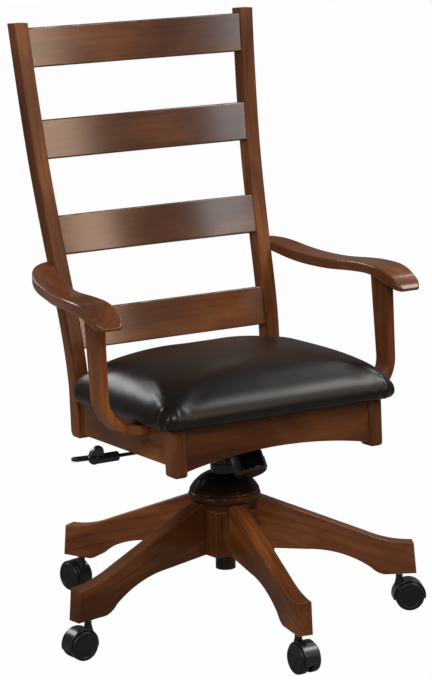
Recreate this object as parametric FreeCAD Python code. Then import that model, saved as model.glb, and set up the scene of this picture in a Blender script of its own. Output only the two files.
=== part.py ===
"""Wooden office chair: five-leg base, casters, gas lift, sprung tilt, ladder back, arms and a padded seat.

Millimetres, +Z up. The origin is on the floor under the column's axis, and the chair faces -Y.
The seat, back and arms are drawn level and then leaned back together by RAKE_ANGLE about RAKE_CENTRE.
"""

import FreeCAD, Part
import math
import os

os.makedirs("parts", exist_ok=True)
V = FreeCAD.Vector
ORIGIN = V(0, 0, 0)
UP = V(0, 0, 1)

# Clearances between pieces
RUN_CLEARANCE = 0.05
FIT_CLEARANCE = 0.1
SOFT_CLEARANCE = 0.3

# Casters
WHEEL_RADIUS = 27.0
WHEEL_WIDTH = 16.2
WHEEL_EDGE = 4.0
WHEEL_DISH_RADIUS = 20.5
WHEEL_DISH_DEPTH = 0.8
WHEEL_DISH_TAPER = 1.0
CASTER_WEB = 6.0
WEB_GAP = 0.5
WEB_CORE_RADIUS = 12.0
HOOD_GAP = 1.3
HOOD_WALL = 2.2
HOOD_WIDTH = 30.0
HOOD_EDGE = 1.5
HOOD_START_ANGLE = -12.0
HOOD_END_ANGLE = 192.0
CASTER_TRAIL = 17.6
CASTER_AXLE_RADIUS = 3.0
AXLE_END_COVER = 2.0
NECK_RADIUS = 6.4
NECK_FOOT_RADIUS = 9.5
NECK_FOOT_HEIGHT = 46.0
NECK_FOOT_TAPER = 14.0
STEM_RADIUS = 5.5
STEM_LENGTH = 36.0
STEM_SEAT_DEPTH = 12.0
SOCKET_WALL = 1.5
SOCKET_FLANGE_RADIUS = 11.0
SOCKET_FLANGE_HEIGHT = 1.5
SOCKET_TIP_GAP = 1.0
NECK_GAP = 0.4

# Legs, from the toe inwards and upwards
LEG_COUNT = 5
FIRST_LEG_ANGLE = -24.8
CASTER_SWIVELS = [-22.9, -88.6, 187.1, 105.2, 57.0]
LEG_WIDTH = 29.5
LEG_EASE = 2.0
TOE_BOTTOM = 70.8
TOE_REACH = 352.0
TOE_HEIGHT = 58.2
TOE_SLANT = 5.0
TOE_FLAT = 56.0
TOE_TO_STEM = 30.4
HEEL_RUN = 26.0
HEEL_RISE = 12.7
HEEL_SAG = 2.46
BELLY_RUN = 120.0
BELLY_RISE = 42.5
BELLY_SAG = 10.02
BROW_RUN = 85.0
BROW_RISE = 20.0
BROW_SAG = 4.56
ROOT_ABOVE_HUB = 17.5
ROOT_SET_UP = 1.0

# Hub and its dowels
HUB_APOTHEM = 56.0
HUB_RISE = 61.2
HUB_HEIGHT = 84.0
HUB_EASE = 1.5
DOWEL_RADIUS = 5.0
DOWEL_LENGTH = 50.0
DOWEL_RISES = [18.0, 64.0]

# Turned cap, heights above the hub
CAP_HEIGHT = 61.0
CAP_TOP_RADIUS = 27.8
CAP_BELL_RADIUS = 64.0
CAP_BELL_RISE = 29.5
CAP_BELL_SAG = 4.57
CAP_BEAD_RADIUS = 66.3
CAP_BEAD_NECK = 61.5
CAP_BEAD_RISE = 11.0
CAP_BEAD_GROOVE = 1.5
CAP_FOOT_RADIUS = 59.5

# Column
TUBE_RADIUS = 25.0
TUBE_TAPER_RADIUS = 23.5
TUBE_END_RADIUS = 18.5
TUBE_ABOVE_CAP = 14.5
TUBE_TAIL = 38.0
TUBE_WALL = 2.0
TUBE_SKIRT = 10.0
TUBE_FLOOR = 6.0
BUSH_LENGTH = 63.5
BUSH_LIP = 1.5
BUSH_LIP_SETBACK = 1.0
PRESSURE_RADIUS = 14.0
PRESSURE_WALL = 2.0
PRESSURE_ABOVE_BEARING = 8.0
PRESSURE_PROUD = 3.5
PRESSURE_SEAL = 8.0
PRESSURE_CAP = 12.0
PISTON_ROD_RADIUS = 5.0
PISTON_LENGTH = 10.0
PISTON_SPARE = 3.0
LIFT_TRAVEL = 80.0
BEARING_RADIUS = 13.0
BEARING_HEIGHT = 7.0
BALL_RING_INSET = 1.0
CLIP_RADIUS = 9.0
CLIP_HEIGHT = 2.0
ROD_BELOW_CLIP = 2.0
BUTTON_RADIUS = 4.0
BUTTON_LENGTH = 19.0
BUTTON_PROUD = 5.4

# Tilt mechanism
SOCKET_GAP = 1.5
SOCKET_HEIGHT = 33.0
SOCKET_BELOW_FLOOR = 23.5
COLUMN_SOCKET_RADIUS = 22.0
HINGE_Y = -20.0
HINGE_RISE = 13.0
HINGE_RADIUS = 4.0
HINGE_HEAD_RADIUS = 6.5
HINGE_HEAD = 1.8
HOUSING_HALF_WIDTH = 32.0
HOUSING_SHEET = 3.0
HOUSING_REAR = 40.0
HOUSING_REAR_HEIGHT = 15.0
HOUSING_FLOOR_FRONT = -46.0
HOUSING_GAP = 10.0
HOUSING_FRONT_GAP = 6.0
PLATE_RISE = 24.0
PLATE_SHEET = 3.0
PLATE_HALF_WIDTH = 75.0
PLATE_FRONT_LIP = 3.0
PLATE_REAR_LIP = 6.0
PLATE_CORNER = 10.0
FLANGE_DEPTH = 18.0
FLANGE_REAR_MARGIN = 7.0
FLANGE_DROP = 9.0
KNOB_Y = -91.0
KNOB_DROP = 25.0
KNOB_LEAN = 31.5
KNOB_RADIUS = 29.0
KNOB_HEIGHT = 38.0
KNOB_TOP_EDGE = 3.0
KNOB_FOOT_EDGE = 5.0
KNOB_RIB_COUNT = 12
KNOB_RIB_RADIUS = 1.6
KNOB_RIB_SINK = 0.4
KNOB_RIB_LENGTH = 19.0
KNOB_POCKET_GAP = 1.5
KNOB_POCKET_DEPTH = 12.0
BOLT_RADIUS = 4.0
BOLT_TAIL = 14.0
BOLT_FOOT_WIDTH = 22.0
BOLT_FOOT_DEPTH = 20.0
BOLT_FOOT_HEIGHT = 9.0
SPRING_RADIUS = 8.9
SPRING_WIRE = 3.2
SPRING_QUARTERS = 18
SPRING_SPACE = 17.0
SPRING_SEAT_HALF = 14.0
SLOT_HALF_LENGTH = 10.0

# Lift lever
LEVER_ROD_RADIUS = 3.25
LEVER_Y = -7.0
LEVER_BUTTON_GAP = 0.35
LEVER_PIVOT_X = -110.0
LEVER_PIN_RADIUS = 2.5
LEVER_END_X = -250.0
LEVER_TIP_X = 8.0
TONGUE_THICKNESS = 2.8
BRACKET_GAP = 0.4
BRACKET_SHEET = 2.0
BRACKET_NOSE = 6.0
BRACKET_HALF_HEIGHT = 7.0
WINDOW_DROP = 6.6
GRIP_RADIUS = 8.8
GRIP_HOLD = 31.0
GRIP_EDGE = 2.0
FIN_BEYOND_ROD = 12.5
FIN_RISE = 7.5
FIN_HALF_HEIGHT = 17.8
FIN_HALF_WIDTH = 13.0
FIN_LEAN = 32.0
FIN_THICKNESS = 11.0
FIN_EDGE = 3.5
PADDLE_BEYOND_FIN = 1.5
PADDLE_RISE = 4.0
PADDLE_RUN = V(-47.0, -1.0, 2.0)
PADDLE_WIDTH = 20.0
PADDLE_THICKNESS = 5.5
PADDLE_EDGE = 2.0

# Seat rake
RAKE_ANGLE = 2.9
RAKE_RISE = 5.0

# Seat frame, drawn level, heights down from the frame's top
FRAME_SHEET = 20.0
POST_HALF_SPAN = 212.5
FRONT_POST_WIDTH = 27.5
FRONT_POST_DEPTH = 33.7
FRONT_POST_FACE = -207.7
FRONT_POST_HEIGHT = 83.0
FRONT_POST_EASE = 7.5
FRONT_POST_FOOT_EASE = 6.5
APRON_SETBACK = 8.0
APRON_END_HEIGHT = 74.5
APRON_ARCH_RISE = 20.0
SIDE_APRON_SETBACK = 3.0
SIDE_APRON_HEIGHT = 63.0
BACK_APRON_SETBACK = 4.0
RAIL_DEPTH = 40.0
RAIL_HEIGHT = 38.0
RAIL_Y = [-62.0, 62.0]
RAIL_SET_DOWN = 17.0
BLOCK_LEG = 52.0
BLOCK_HEIGHT = 32.0
BLOCK_SET_DOWN = 9.0
SCREW_RADIUS = 2.2
SCREW_HEAD_RADIUS = 4.5
SCREW_HEAD = 2.5
SCREW_LENGTH = 28.0
SCREW_X = 55.0

# Back posts, drawn level: front edge above the knee as (back from the foot's face, up from the frame's top)
BACK_POST_WIDTH = 28.0
BACK_POST_DEPTH = 32.0
BACK_POST_FACE = 154.4
BACK_POST_DROP = 70.0
BACK_POST_KNEE_RISE = 21.0
BACK_POST_EDGE = [(9.4, 121.5), (32.3, 223), (56.1, 324), (76.4, 425), (90.9, 526), (102.2, 627), (107.6, 684)]
BACK_POST_OVERHANG = 7.1
BACK_POST_SPLAY = 33.0
BACK_POST_HEEL = 12.0
BACK_POST_EASE = 2.5

# Slats, top to bottom: lower edge up from the frame's top, and forward bow of the middle
SLAT_HEIGHT = 72.3
SLAT_THICKNESS = 16.0
SLAT_SETBACK = 3.5
SLAT_RISES = [603.2, 436.5, 263.2, 92.0]
SLAT_BOWS = [2.0, 4.0, 8.0, 3.0]
SLAT_EASE = 2.5
SLAT_SPARE = 10.0
TENON_LENGTH = 14.0
TENON_THICKNESS = 8.0
TENON_SHOULDER = 10.0

# Arms, drawn level, right side: plan as (out from the side apron, y), side view as (y, up from the frame's top)
ARM_THICKNESS = 19.0
ARM_EASE = 3.5
ARM_OUTER = [(58.5, 200), (78.5, 160), (94.5, 80), (103.5, 40), (112.5, 0), (120, -60), (120.5, -110)]
ARM_OUTER_NOSE = (117.5, -150)
ARM_INNER = [(27.5, 160), (42.5, 80), (57.5, 0), (62, -60), (62.5, -110), (66.5, -150)]
ARM_TIP = -174.0
ARM_TIP_CORNER = 9.0
ARM_ROOT_RISE = 237.0
ARM_ROOT_SHOULDER = 1.0
ARM_TOP = [(225, 255), (200, 247), (160, 235), (120, 228), (80, 224.7), (40, 223), (0, 224), (-40, 225)]
ARM_TOP_END = (-80, 224)
ARM_NOSE = [(-120, 219), (-150, 207), (-166, 196), (-175, 186)]
ARM_CHIN = [(-112, 199), (-138, 190.5), (-162, 183.5), (-175, 181.5)]

# Arm supports, drawn level, right side
SUPPORT_OUT = 92.0
SUPPORT_THICKNESS = 16.0
SUPPORT_BEND = 72.0
SUPPORT_DROP = 17.0
SUPPORT_HEIGHT = 244.0
SUPPORT_FRONT = -118.0
SUPPORT_FOOT_DEPTH = 36.5
SUPPORT_TOP_DEPTH = 52.5
SUPPORT_EASE = 2.5

# Cushion, drawn level: a rounded outline that draws in below and above its widest height
CUSHION_OVERHANG = 29.5
CUSHION_FRONT_OVERHANG = 24.3
CUSHION_REAR_GAP = 2.4
CUSHION_CORNER = 20.0
CUSHION_CORNER_GROWTH = 0.8
CUSHION_SIDE_DRAW = 0.76
CUSHION_REAR_DRAW = 0.4
CUSHION_WIDEST = 16.0
CUSHION_UNDER_DRAW = 17.0
CUSHION_CROWN = 94.0
CUSHION_CROWN_REACH = 165.0
CUSHION_FULLNESS = 0.966
CUSHION_TOP_ANGLE = 80.0
CUSHION_UNDER_STEPS = 3
CUSHION_CROWN_STEPS = 8
COVER_THICKNESS = 1.5
COVER_TURN_IN = 43.0
BOARD_THICKNESS = 12.0
BOARD_MARGIN = 30.0
BOARD_REAR_MARGIN = 20.0
BOARD_CORNER = 30.0

# Levels and places that follow from the sizes above
CHAIR_SPAN = 800.0
CASTER_STEM_CIRCLE = TOE_REACH - TOE_TO_STEM
HOOD_RADIUS = WHEEL_RADIUS + HOOD_GAP + HOOD_WALL
HUB_BOTTOM = TOE_BOTTOM + HUB_RISE
HUB_TOP = HUB_BOTTOM + HUB_HEIGHT
CAP_TOP = HUB_TOP + CAP_HEIGHT
CAP_BELL_BOTTOM = HUB_TOP + CAP_BELL_RISE
CAP_BEAD_BOTTOM = HUB_TOP + CAP_BEAD_RISE
TUBE_TOP = CAP_TOP + TUBE_ABOVE_CAP
TUBE_BOTTOM = HUB_BOTTOM - TUBE_TAIL
TUBE_FLOOR_UNDERSIDE = TUBE_BOTTOM + TUBE_SKIRT
TUBE_FLOOR_TOP = TUBE_FLOOR_UNDERSIDE + TUBE_FLOOR
PRESSURE_BOTTOM = TUBE_FLOOR_TOP + BEARING_HEIGHT + PRESSURE_ABOVE_BEARING
PISTON_HEIGHT = PRESSURE_BOTTOM + PRESSURE_SEAL + LIFT_TRAVEL + PISTON_SPARE
SOCKET_BOTTOM = TUBE_TOP + BUSH_LIP + SOCKET_GAP
SOCKET_TOP = SOCKET_BOTTOM + SOCKET_HEIGHT
PRESSURE_TOP = SOCKET_TOP + PRESSURE_PROUD
HOUSING_FLOOR = SOCKET_BOTTOM + SOCKET_BELOW_FLOOR
HINGE_Z = HOUSING_FLOOR + HINGE_RISE
RAKE_CENTRE = V(0, 0, HINGE_Z + RAKE_RISE)
PLATE_UNDERSIDE = HINGE_Z + PLATE_RISE
HOUSING_TOP = PLATE_UNDERSIDE - HOUSING_GAP
HOUSING_FRONT_TOP = PLATE_UNDERSIDE - HOUSING_FRONT_GAP
FLANGE_REAR = HINGE_Y + FLANGE_REAR_MARGIN
FLANGE_FRONT = FLANGE_REAR - FLANGE_DEPTH
FLANGE_BOTTOM = HINGE_Z - FLANGE_DROP
KNOB_CENTRE = V(0, KNOB_Y, HINGE_Z - KNOB_DROP)
KNOB_POCKET_RADIUS = SPRING_RADIUS + SPRING_WIRE / 2 + KNOB_POCKET_GAP
SPRING_SEAT_REACH = KNOB_HEIGHT / 2 + SPRING_SPACE
BOLT_REACH = (PLATE_UNDERSIDE - BOLT_FOOT_HEIGHT / 2 - KNOB_CENTRE.z) / math.cos(math.radians(KNOB_LEAN))
LEVER_Z = PRESSURE_TOP + BUTTON_PROUD + LEVER_BUTTON_GAP + LEVER_ROD_RADIUS
FIN_CENTRE = V(LEVER_END_X - FIN_BEYOND_ROD, LEVER_Y, LEVER_Z + FIN_RISE)
PADDLE_START = V(FIN_CENTRE.x - PADDLE_BEYOND_FIN, LEVER_Y, LEVER_Z + PADDLE_RISE)
FRAME_TOP = PLATE_UNDERSIDE + PLATE_SHEET + RAIL_HEIGHT + RAIL_SET_DOWN
SIDE_APRON_FACE = POST_HALF_SPAN - SIDE_APRON_SETBACK
BACK_POST_BOTTOM = FRAME_TOP - BACK_POST_DROP
BACK_POST_KNEE = FRAME_TOP + BACK_POST_KNEE_RISE
BACK_POST_TOP = FRAME_TOP + BACK_POST_EDGE[-1][1]
BACK_POST_FOOT_X = SIDE_APRON_FACE + BACK_POST_OVERHANG
BACK_POST_HEAD_X = BACK_POST_FOOT_X + BACK_POST_SPLAY
ARM_ROOT_Z = FRAME_TOP + ARM_ROOT_RISE
CUSHION_HALF_WIDTH = SIDE_APRON_FACE + CUSHION_OVERHANG
CUSHION_FRONT = FRONT_POST_FACE - CUSHION_FRONT_OVERHANG
CUSHION_REAR = BACK_POST_FACE - CUSHION_REAR_GAP


def box(x0, x1, y0, y1, z0, z1):
    """Block between two corners."""
    return Part.makeBox(x1 - x0, y1 - y0, z1 - z0, V(x0, y0, z0))


def rod(start, end, radius):
    """Round bar from one point to another."""
    along = end.sub(start)
    return Part.makeCylinder(radius, along.Length, start, along)


def tube(radius, wall, bottom, top):
    """Upright tube on the column's axis."""
    outer = Part.makeCylinder(radius, top - bottom, V(0, 0, bottom))
    return outer.cut(Part.makeCylinder(radius - wall, top - bottom, V(0, 0, bottom)))


def prism(edges, along):
    """Solid swept straight from one closed outline of edges."""
    wire = Part.Wire(Part.__sortEdges__(edges))
    return Part.Face(wire).extrude(along)


def polygon(points, along):
    """Solid swept straight from a closed outline of corners."""
    return Part.Face(Part.makePolygon(points + [points[0]])).extrude(along)


def line(start, end):
    return Part.makeLine(start, end)


def arc(start, middle, end):
    return Part.Arc(start, middle, end).toShape()


def sagged(start, end, sag):
    """Arc in the XZ plane from start to end, its middle off the chord's right by sag."""
    along = end.sub(start).normalize()
    middle = start.add(end) * 0.5
    return arc(start, middle.add(V(along.z, 0, -along.x) * sag), end)


def spline(points):
    """Smooth edge through a few points."""
    curve = Part.BSplineCurve()
    curve.interpolate(points)
    return curve.toShape()


def turned(edges, bottom_axis=ORIGIN):
    """Solid turned about a vertical axis from a closed outline in the XZ plane."""
    wire = Part.Wire(Part.__sortEdges__(edges))
    return Part.Face(wire).revolve(bottom_axis, UP, 360)


def eased(solid, radius, wanted):
    """Round the edges for which wanted(edge) is true."""
    return solid.makeFillet(radius, [edge for edge in solid.Edges if wanted(edge)])


def is_upright(edge):
    """True for a straight edge that stands vertical."""
    ends = [vertex.Point for vertex in edge.Vertexes]
    return len(ends) == 2 and abs(ends[0].x - ends[1].x) < 0.01 and abs(ends[0].y - ends[1].y) < 0.01


def mirrored(solid):
    """The left-hand twin of a right-hand piece."""
    return solid.mirror(ORIGIN, V(1, 0, 0))


def raked(shape):
    """Lean a level piece back with the seat."""
    leaned = shape.copy()
    leaned.rotate(RAKE_CENTRE, V(1, 0, 0), -RAKE_ANGLE)
    return leaned


def turned_to(shape, angle):
    """Turn a piece about the column's axis."""
    moved = shape.copy()
    moved.rotate(ORIGIN, UP, angle)
    return moved


def save(node, *solids):
    """Write one node from its separate solids."""
    shape = solids[0] if len(solids) == 1 else Part.makeCompound(list(solids))
    shape.exportStep("parts/" + node + ".step")


def interpolated(points, z):
    """Y of a (y, z) line of points at one height."""
    for (y0, z0), (y1, z1) in zip(points, points[1:]):
        if z0 <= z <= z1:
            return y0 + (y1 - y0) * (z - z0) / (z1 - z0)
    return points[-1][0]


# Rolling base


def leg_angle(number):
    return FIRST_LEG_ANGLE - number * 360.0 / LEG_COUNT


def make_column_envelope(radius_gain=0.0):
    """Outside of the lower tube, as the hub and the cap are bored for it."""
    gain = radius_gain
    corners = [
        V(0, 0, TUBE_BOTTOM),
        V(TUBE_END_RADIUS + gain, 0, TUBE_BOTTOM),
        V(TUBE_END_RADIUS + gain, 0, HUB_BOTTOM),
        V(TUBE_TAPER_RADIUS + gain, 0, HUB_BOTTOM),
        V(TUBE_RADIUS + gain, 0, HUB_TOP),
        V(TUBE_RADIUS + gain, 0, TUBE_TOP),
        V(0, 0, TUBE_TOP),
    ]
    face = Part.Face(Part.makePolygon(corners + [corners[0]]))
    return face.revolve(ORIGIN, UP, 360)


def make_cap_envelope(gain):
    """Space that the cap's foot ring and bead need above the hub and the legs."""
    foot = Part.makeCylinder(CAP_FOOT_RADIUS + gain, CAP_TOP - HUB_TOP, V(0, 0, HUB_TOP))
    bead_at = V(0, 0, CAP_BEAD_BOTTOM - gain)
    bead = Part.makeCylinder(CAP_BEAD_RADIUS + gain, CAP_TOP - CAP_BEAD_BOTTOM, bead_at)
    return foot.fuse(bead)


def dowel_heights():
    return [HUB_BOTTOM + rise for rise in DOWEL_RISES]


def make_dowels():
    """Two dowels across the first leg's joint, pointing along +X."""
    start = HUB_APOTHEM - DOWEL_LENGTH / 2
    return [rod(V(start, 0, z), V(start + DOWEL_LENGTH, 0, z), DOWEL_RADIUS) for z in dowel_heights()]


def make_dowel_holes():
    start = HUB_APOTHEM - DOWEL_LENGTH / 2 - FIT_CLEARANCE
    end = HUB_APOTHEM + DOWEL_LENGTH / 2 + FIT_CLEARANCE
    return [rod(V(start, 0, z), V(end, 0, z), DOWEL_RADIUS + RUN_CLEARANCE) for z in dowel_heights()]


def make_leg():
    """Leg along +X: straight slope, flattening arc, flat toe and a hollowed underside."""
    toe_top = V(TOE_REACH - TOE_SLANT, 0, TOE_BOTTOM + TOE_HEIGHT)
    slope_end = toe_top.add(V(-BROW_RUN, 0, BROW_RISE))
    root_top = V(HUB_APOTHEM, 0, HUB_TOP + ROOT_ABOVE_HUB)
    toe_end = V(TOE_REACH, 0, TOE_BOTTOM)
    toe_start = V(TOE_REACH - TOE_FLAT, 0, TOE_BOTTOM)
    heel = toe_start.add(V(-HEEL_RUN, 0, HEEL_RISE))
    belly = heel.add(V(-BELLY_RUN, 0, BELLY_RISE))
    root_bottom = V(HUB_APOTHEM, 0, HUB_BOTTOM + ROOT_SET_UP)
    outline = [
        line(root_top, slope_end),
        sagged(slope_end, toe_top, BROW_SAG),
        line(toe_top, toe_end),
        line(toe_end, toe_start),
        sagged(toe_start, heel, -HEEL_SAG),
        sagged(heel, belly, BELLY_SAG),
        line(belly, root_bottom),
        line(root_bottom, root_top),
    ]
    leg = prism(outline, V(0, LEG_WIDTH, 0))
    leg.translate(V(0, -LEG_WIDTH / 2, 0))
    heel_length = 1.3 * HEEL_RUN

    def runs_along_leg(edge):
        inner = edge.BoundBox.XMax < HUB_APOTHEM + 0.01
        across = edge.BoundBox.YLength > 1.0
        return not inner and not across and edge.Length > heel_length

    leg = eased(leg, LEG_EASE, runs_along_leg)
    leg = leg.cut(make_cap_envelope(SOFT_CLEARANCE))
    for hole in make_dowel_holes():
        leg = leg.cut(hole)
    socket_hole = Part.makeCylinder(
        STEM_RADIUS + RUN_CLEARANCE + SOCKET_WALL, STEM_LENGTH + SOCKET_TIP_GAP, V(CASTER_STEM_CIRCLE, 0, TOE_BOTTOM)
    )
    return leg.cut(socket_hole)


def make_hub():
    """Five-sided block whose flats carry the legs."""
    circumradius = HUB_APOTHEM / math.cos(math.pi / LEG_COUNT)
    corners = []
    for number in range(LEG_COUNT):
        angle = math.radians(leg_angle(number) + 180.0 / LEG_COUNT)
        corners.append(V(circumradius * math.cos(angle), circumradius * math.sin(angle), HUB_BOTTOM))
    hub = polygon(corners, V(0, 0, HUB_TOP - HUB_BOTTOM))
    hub = eased(hub, HUB_EASE, is_upright)
    hub = hub.cut(make_column_envelope())
    for number in range(LEG_COUNT):
        for hole in make_dowel_holes():
            hub = hub.cut(turned_to(hole, leg_angle(number)))
    return hub


def make_hub_cap():
    """Turned bell over a bead and a foot ring."""
    bore = TUBE_RADIUS + SOFT_CLEARANCE
    bead_top = CAP_BELL_BOTTOM - CAP_BEAD_GROOVE
    bead_middle = (CAP_BEAD_BOTTOM + bead_top) / 2
    outline = [
        line(V(bore, 0, HUB_TOP), V(bore, 0, CAP_TOP)),
        line(V(bore, 0, CAP_TOP), V(CAP_TOP_RADIUS, 0, CAP_TOP)),
        sagged(V(CAP_TOP_RADIUS, 0, CAP_TOP), V(CAP_BELL_RADIUS, 0, CAP_BELL_BOTTOM), -CAP_BELL_SAG),
        line(V(CAP_BELL_RADIUS, 0, CAP_BELL_BOTTOM), V(CAP_BEAD_NECK, 0, bead_top)),
        arc(V(CAP_BEAD_NECK, 0, bead_top), V(CAP_BEAD_RADIUS, 0, bead_middle), V(CAP_BEAD_NECK, 0, CAP_BEAD_BOTTOM)),
        line(V(CAP_BEAD_NECK, 0, CAP_BEAD_BOTTOM), V(CAP_FOOT_RADIUS, 0, CAP_BEAD_BOTTOM)),
        line(V(CAP_FOOT_RADIUS, 0, CAP_BEAD_BOTTOM), V(CAP_FOOT_RADIUS, 0, HUB_TOP)),
        line(V(CAP_FOOT_RADIUS, 0, HUB_TOP), V(bore, 0, HUB_TOP)),
    ]
    return turned(outline)


def make_caster_socket():
    """Flanged sleeve in the toe of the leg along +X."""
    inner = STEM_RADIUS + RUN_CLEARANCE
    at = V(CASTER_STEM_CIRCLE, 0, TOE_BOTTOM)
    sleeve = Part.makeCylinder(inner + SOCKET_WALL, STEM_LENGTH + SOCKET_TIP_GAP, at)
    flange_at = V(CASTER_STEM_CIRCLE, 0, TOE_BOTTOM - SOCKET_FLANGE_HEIGHT)
    flange = Part.makeCylinder(SOCKET_FLANGE_RADIUS, SOCKET_FLANGE_HEIGHT, flange_at)
    bore_length = SOCKET_FLANGE_HEIGHT + STEM_LENGTH + SOCKET_TIP_GAP - SOCKET_WALL
    return sleeve.fuse(flange).cut(Part.makeCylinder(inner, bore_length, flange_at))


def caster_places():
    """Each caster's stem position and swivel angle."""
    for number in range(LEG_COUNT):
        angle = math.radians(leg_angle(number))
        stem = V(CASTER_STEM_CIRCLE * math.cos(angle), CASTER_STEM_CIRCLE * math.sin(angle), 0)
        yield number + 1, stem, CASTER_SWIVELS[number]


def placed_caster_piece(shape, stem, swivel):
    """Move a piece drawn about its stem, trailing along +X, to its leg."""
    moved = turned_to(shape, swivel)
    moved.translate(stem)
    return moved


def make_hood():
    """Hood over both wheels with the web between them and the boss for the stem."""
    centre = V(CASTER_TRAIL, 0, WHEEL_RADIUS)
    start = V(CASTER_TRAIL, -HOOD_WIDTH / 2, WHEEL_RADIUS)
    across = V(0, 1, 0)
    shell = Part.makeCylinder(HOOD_RADIUS, HOOD_WIDTH, start, across)
    shell = eased(shell, HOOD_EDGE, lambda edge: edge.Closed)
    hollow = Part.makeCylinder(HOOD_RADIUS - HOOD_WALL, HOOD_WIDTH, start, across)
    shell = shell.cut(hollow)
    reach = 2 * HOOD_RADIUS
    opening = [centre]
    steps = 4
    sweep = 360.0 - (HOOD_END_ANGLE - HOOD_START_ANGLE)
    for step in range(steps + 1):
        angle = math.radians(HOOD_END_ANGLE + sweep * step / steps)
        opening.append(centre.add(V(reach * math.cos(angle), 0, reach * math.sin(angle))))
    cutter = polygon(opening, V(0, 2 * HOOD_WIDTH, 0))
    cutter.translate(V(0, -HOOD_WIDTH, 0))
    shell = shell.cut(cutter)
    web_at = V(CASTER_TRAIL, -CASTER_WEB / 2, WHEEL_RADIUS)
    web = Part.makeCylinder(HOOD_RADIUS - HOOD_WALL / 2, CASTER_WEB, web_at, across)
    web = web.cut(cutter)
    core = Part.makeCylinder(WEB_CORE_RADIUS, CASTER_WEB, web_at, across)
    neck_top = TOE_BOTTOM - SOCKET_FLANGE_HEIGHT - NECK_GAP
    neck = Part.makeCone(NECK_FOOT_RADIUS, NECK_RADIUS, NECK_FOOT_TAPER, V(0, 0, NECK_FOOT_HEIGHT))
    neck = neck.fuse(Part.makeCylinder(NECK_RADIUS, neck_top - NECK_FOOT_HEIGHT, V(0, 0, NECK_FOOT_HEIGHT)))
    neck = neck.cut(Part.makeCylinder(HOOD_RADIUS - HOOD_WALL / 2, HOOD_WIDTH, start, across))
    hood = shell.fuse(web).fuse(core).fuse(neck)
    stem_hole = Part.makeCylinder(STEM_RADIUS, STEM_SEAT_DEPTH, V(0, 0, neck_top - STEM_SEAT_DEPTH))
    axle_hole = Part.makeCylinder(CASTER_AXLE_RADIUS, HOOD_WIDTH, start, across)
    return hood.cut(stem_hole).cut(axle_hole).removeSplitter()


def wheel_inner_face():
    return CASTER_WEB / 2 + WEB_GAP


def make_stem():
    neck_top = TOE_BOTTOM - SOCKET_FLANGE_HEIGHT - NECK_GAP
    bottom = neck_top - STEM_SEAT_DEPTH
    top = TOE_BOTTOM + STEM_LENGTH - SOCKET_WALL
    return rod(V(0, 0, bottom), V(0, 0, top), STEM_RADIUS)


def make_wheel_axle():
    reach = wheel_inner_face() + WHEEL_WIDTH - AXLE_END_COVER - FIT_CLEARANCE
    return rod(V(CASTER_TRAIL, -reach, WHEEL_RADIUS), V(CASTER_TRAIL, reach, WHEEL_RADIUS), CASTER_AXLE_RADIUS)


def make_wheel(side):
    """Wheel on the side +1 or -1 of the web, with a blind bore and a shallow dished face."""
    along = V(0, side, 0)
    inner = V(CASTER_TRAIL, side * wheel_inner_face(), WHEEL_RADIUS)
    wheel = Part.makeCylinder(WHEEL_RADIUS, WHEEL_WIDTH, inner, along)
    wheel = eased(wheel, WHEEL_EDGE, lambda edge: edge.Closed)
    outer = inner.add(V(0, side * WHEEL_WIDTH, 0))
    dish_floor = WHEEL_DISH_RADIUS - WHEEL_DISH_TAPER
    dish = Part.makeCone(WHEEL_DISH_RADIUS, dish_floor, WHEEL_DISH_DEPTH, outer, V(0, -side, 0))
    bore = Part.makeCylinder(CASTER_AXLE_RADIUS + RUN_CLEARANCE, WHEEL_WIDTH - AXLE_END_COVER, inner, along)
    return wheel.cut(dish).cut(bore)


def build_base():
    leg = make_leg()
    socket = make_caster_socket()
    dowels = []
    sockets = []
    for number in range(LEG_COUNT):
        angle = leg_angle(number)
        save("leg_%d" % (number + 1), turned_to(leg, angle))
        dowels += [turned_to(dowel, angle) for dowel in make_dowels()]
        sockets.append(turned_to(socket, angle))
    save("leg_dowels", *dowels)
    save("caster_sockets", *sockets)
    save("hub", make_hub())
    save("hub_cap", make_hub_cap())


def build_casters():
    hood = make_hood()
    stem_pin = make_stem()
    axle = make_wheel_axle()
    wheels = {"left": make_wheel(1), "right": make_wheel(-1)}
    for number, stem, swivel in caster_places():
        pieces = [placed_caster_piece(piece, stem, swivel) for piece in (hood, stem_pin, axle)]
        save("caster_hood_%d" % number, *pieces)
        for side, wheel in wheels.items():
            save("caster_wheel_%s_%d" % (side, number), placed_caster_piece(wheel, stem, swivel))


# Column


def make_outer_tube():
    """Tapered tube with a floor near its lower end."""
    shell = make_column_envelope()
    step = HUB_BOTTOM + TUBE_WALL
    upper = Part.makeCylinder(TUBE_TAPER_RADIUS - TUBE_WALL, TUBE_TOP - step, V(0, 0, step))
    lower = Part.makeCylinder(TUBE_END_RADIUS - TUBE_WALL, step - TUBE_FLOOR_TOP, V(0, 0, TUBE_FLOOR_TOP))
    skirt = Part.makeCylinder(TUBE_END_RADIUS - TUBE_WALL, TUBE_SKIRT, V(0, 0, TUBE_BOTTOM))
    hole = Part.makeCylinder(PISTON_ROD_RADIUS + RUN_CLEARANCE, TUBE_FLOOR, V(0, 0, TUBE_FLOOR_UNDERSIDE))
    return shell.cut(upper).cut(lower).cut(skirt).cut(hole)


def make_guide_bush():
    """Long bush between the two tubes, with a lip on the outer tube's mouth."""
    inner = PRESSURE_RADIUS + RUN_CLEARANCE
    outer = TUBE_TAPER_RADIUS - TUBE_WALL
    body = tube(outer, outer - inner, TUBE_TOP - BUSH_LENGTH, TUBE_TOP)
    lip_radius = TUBE_RADIUS - BUSH_LIP_SETBACK
    lip = tube(lip_radius, lip_radius - inner, TUBE_TOP, TUBE_TOP + BUSH_LIP)
    return body.fuse(lip).removeSplitter()


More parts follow.
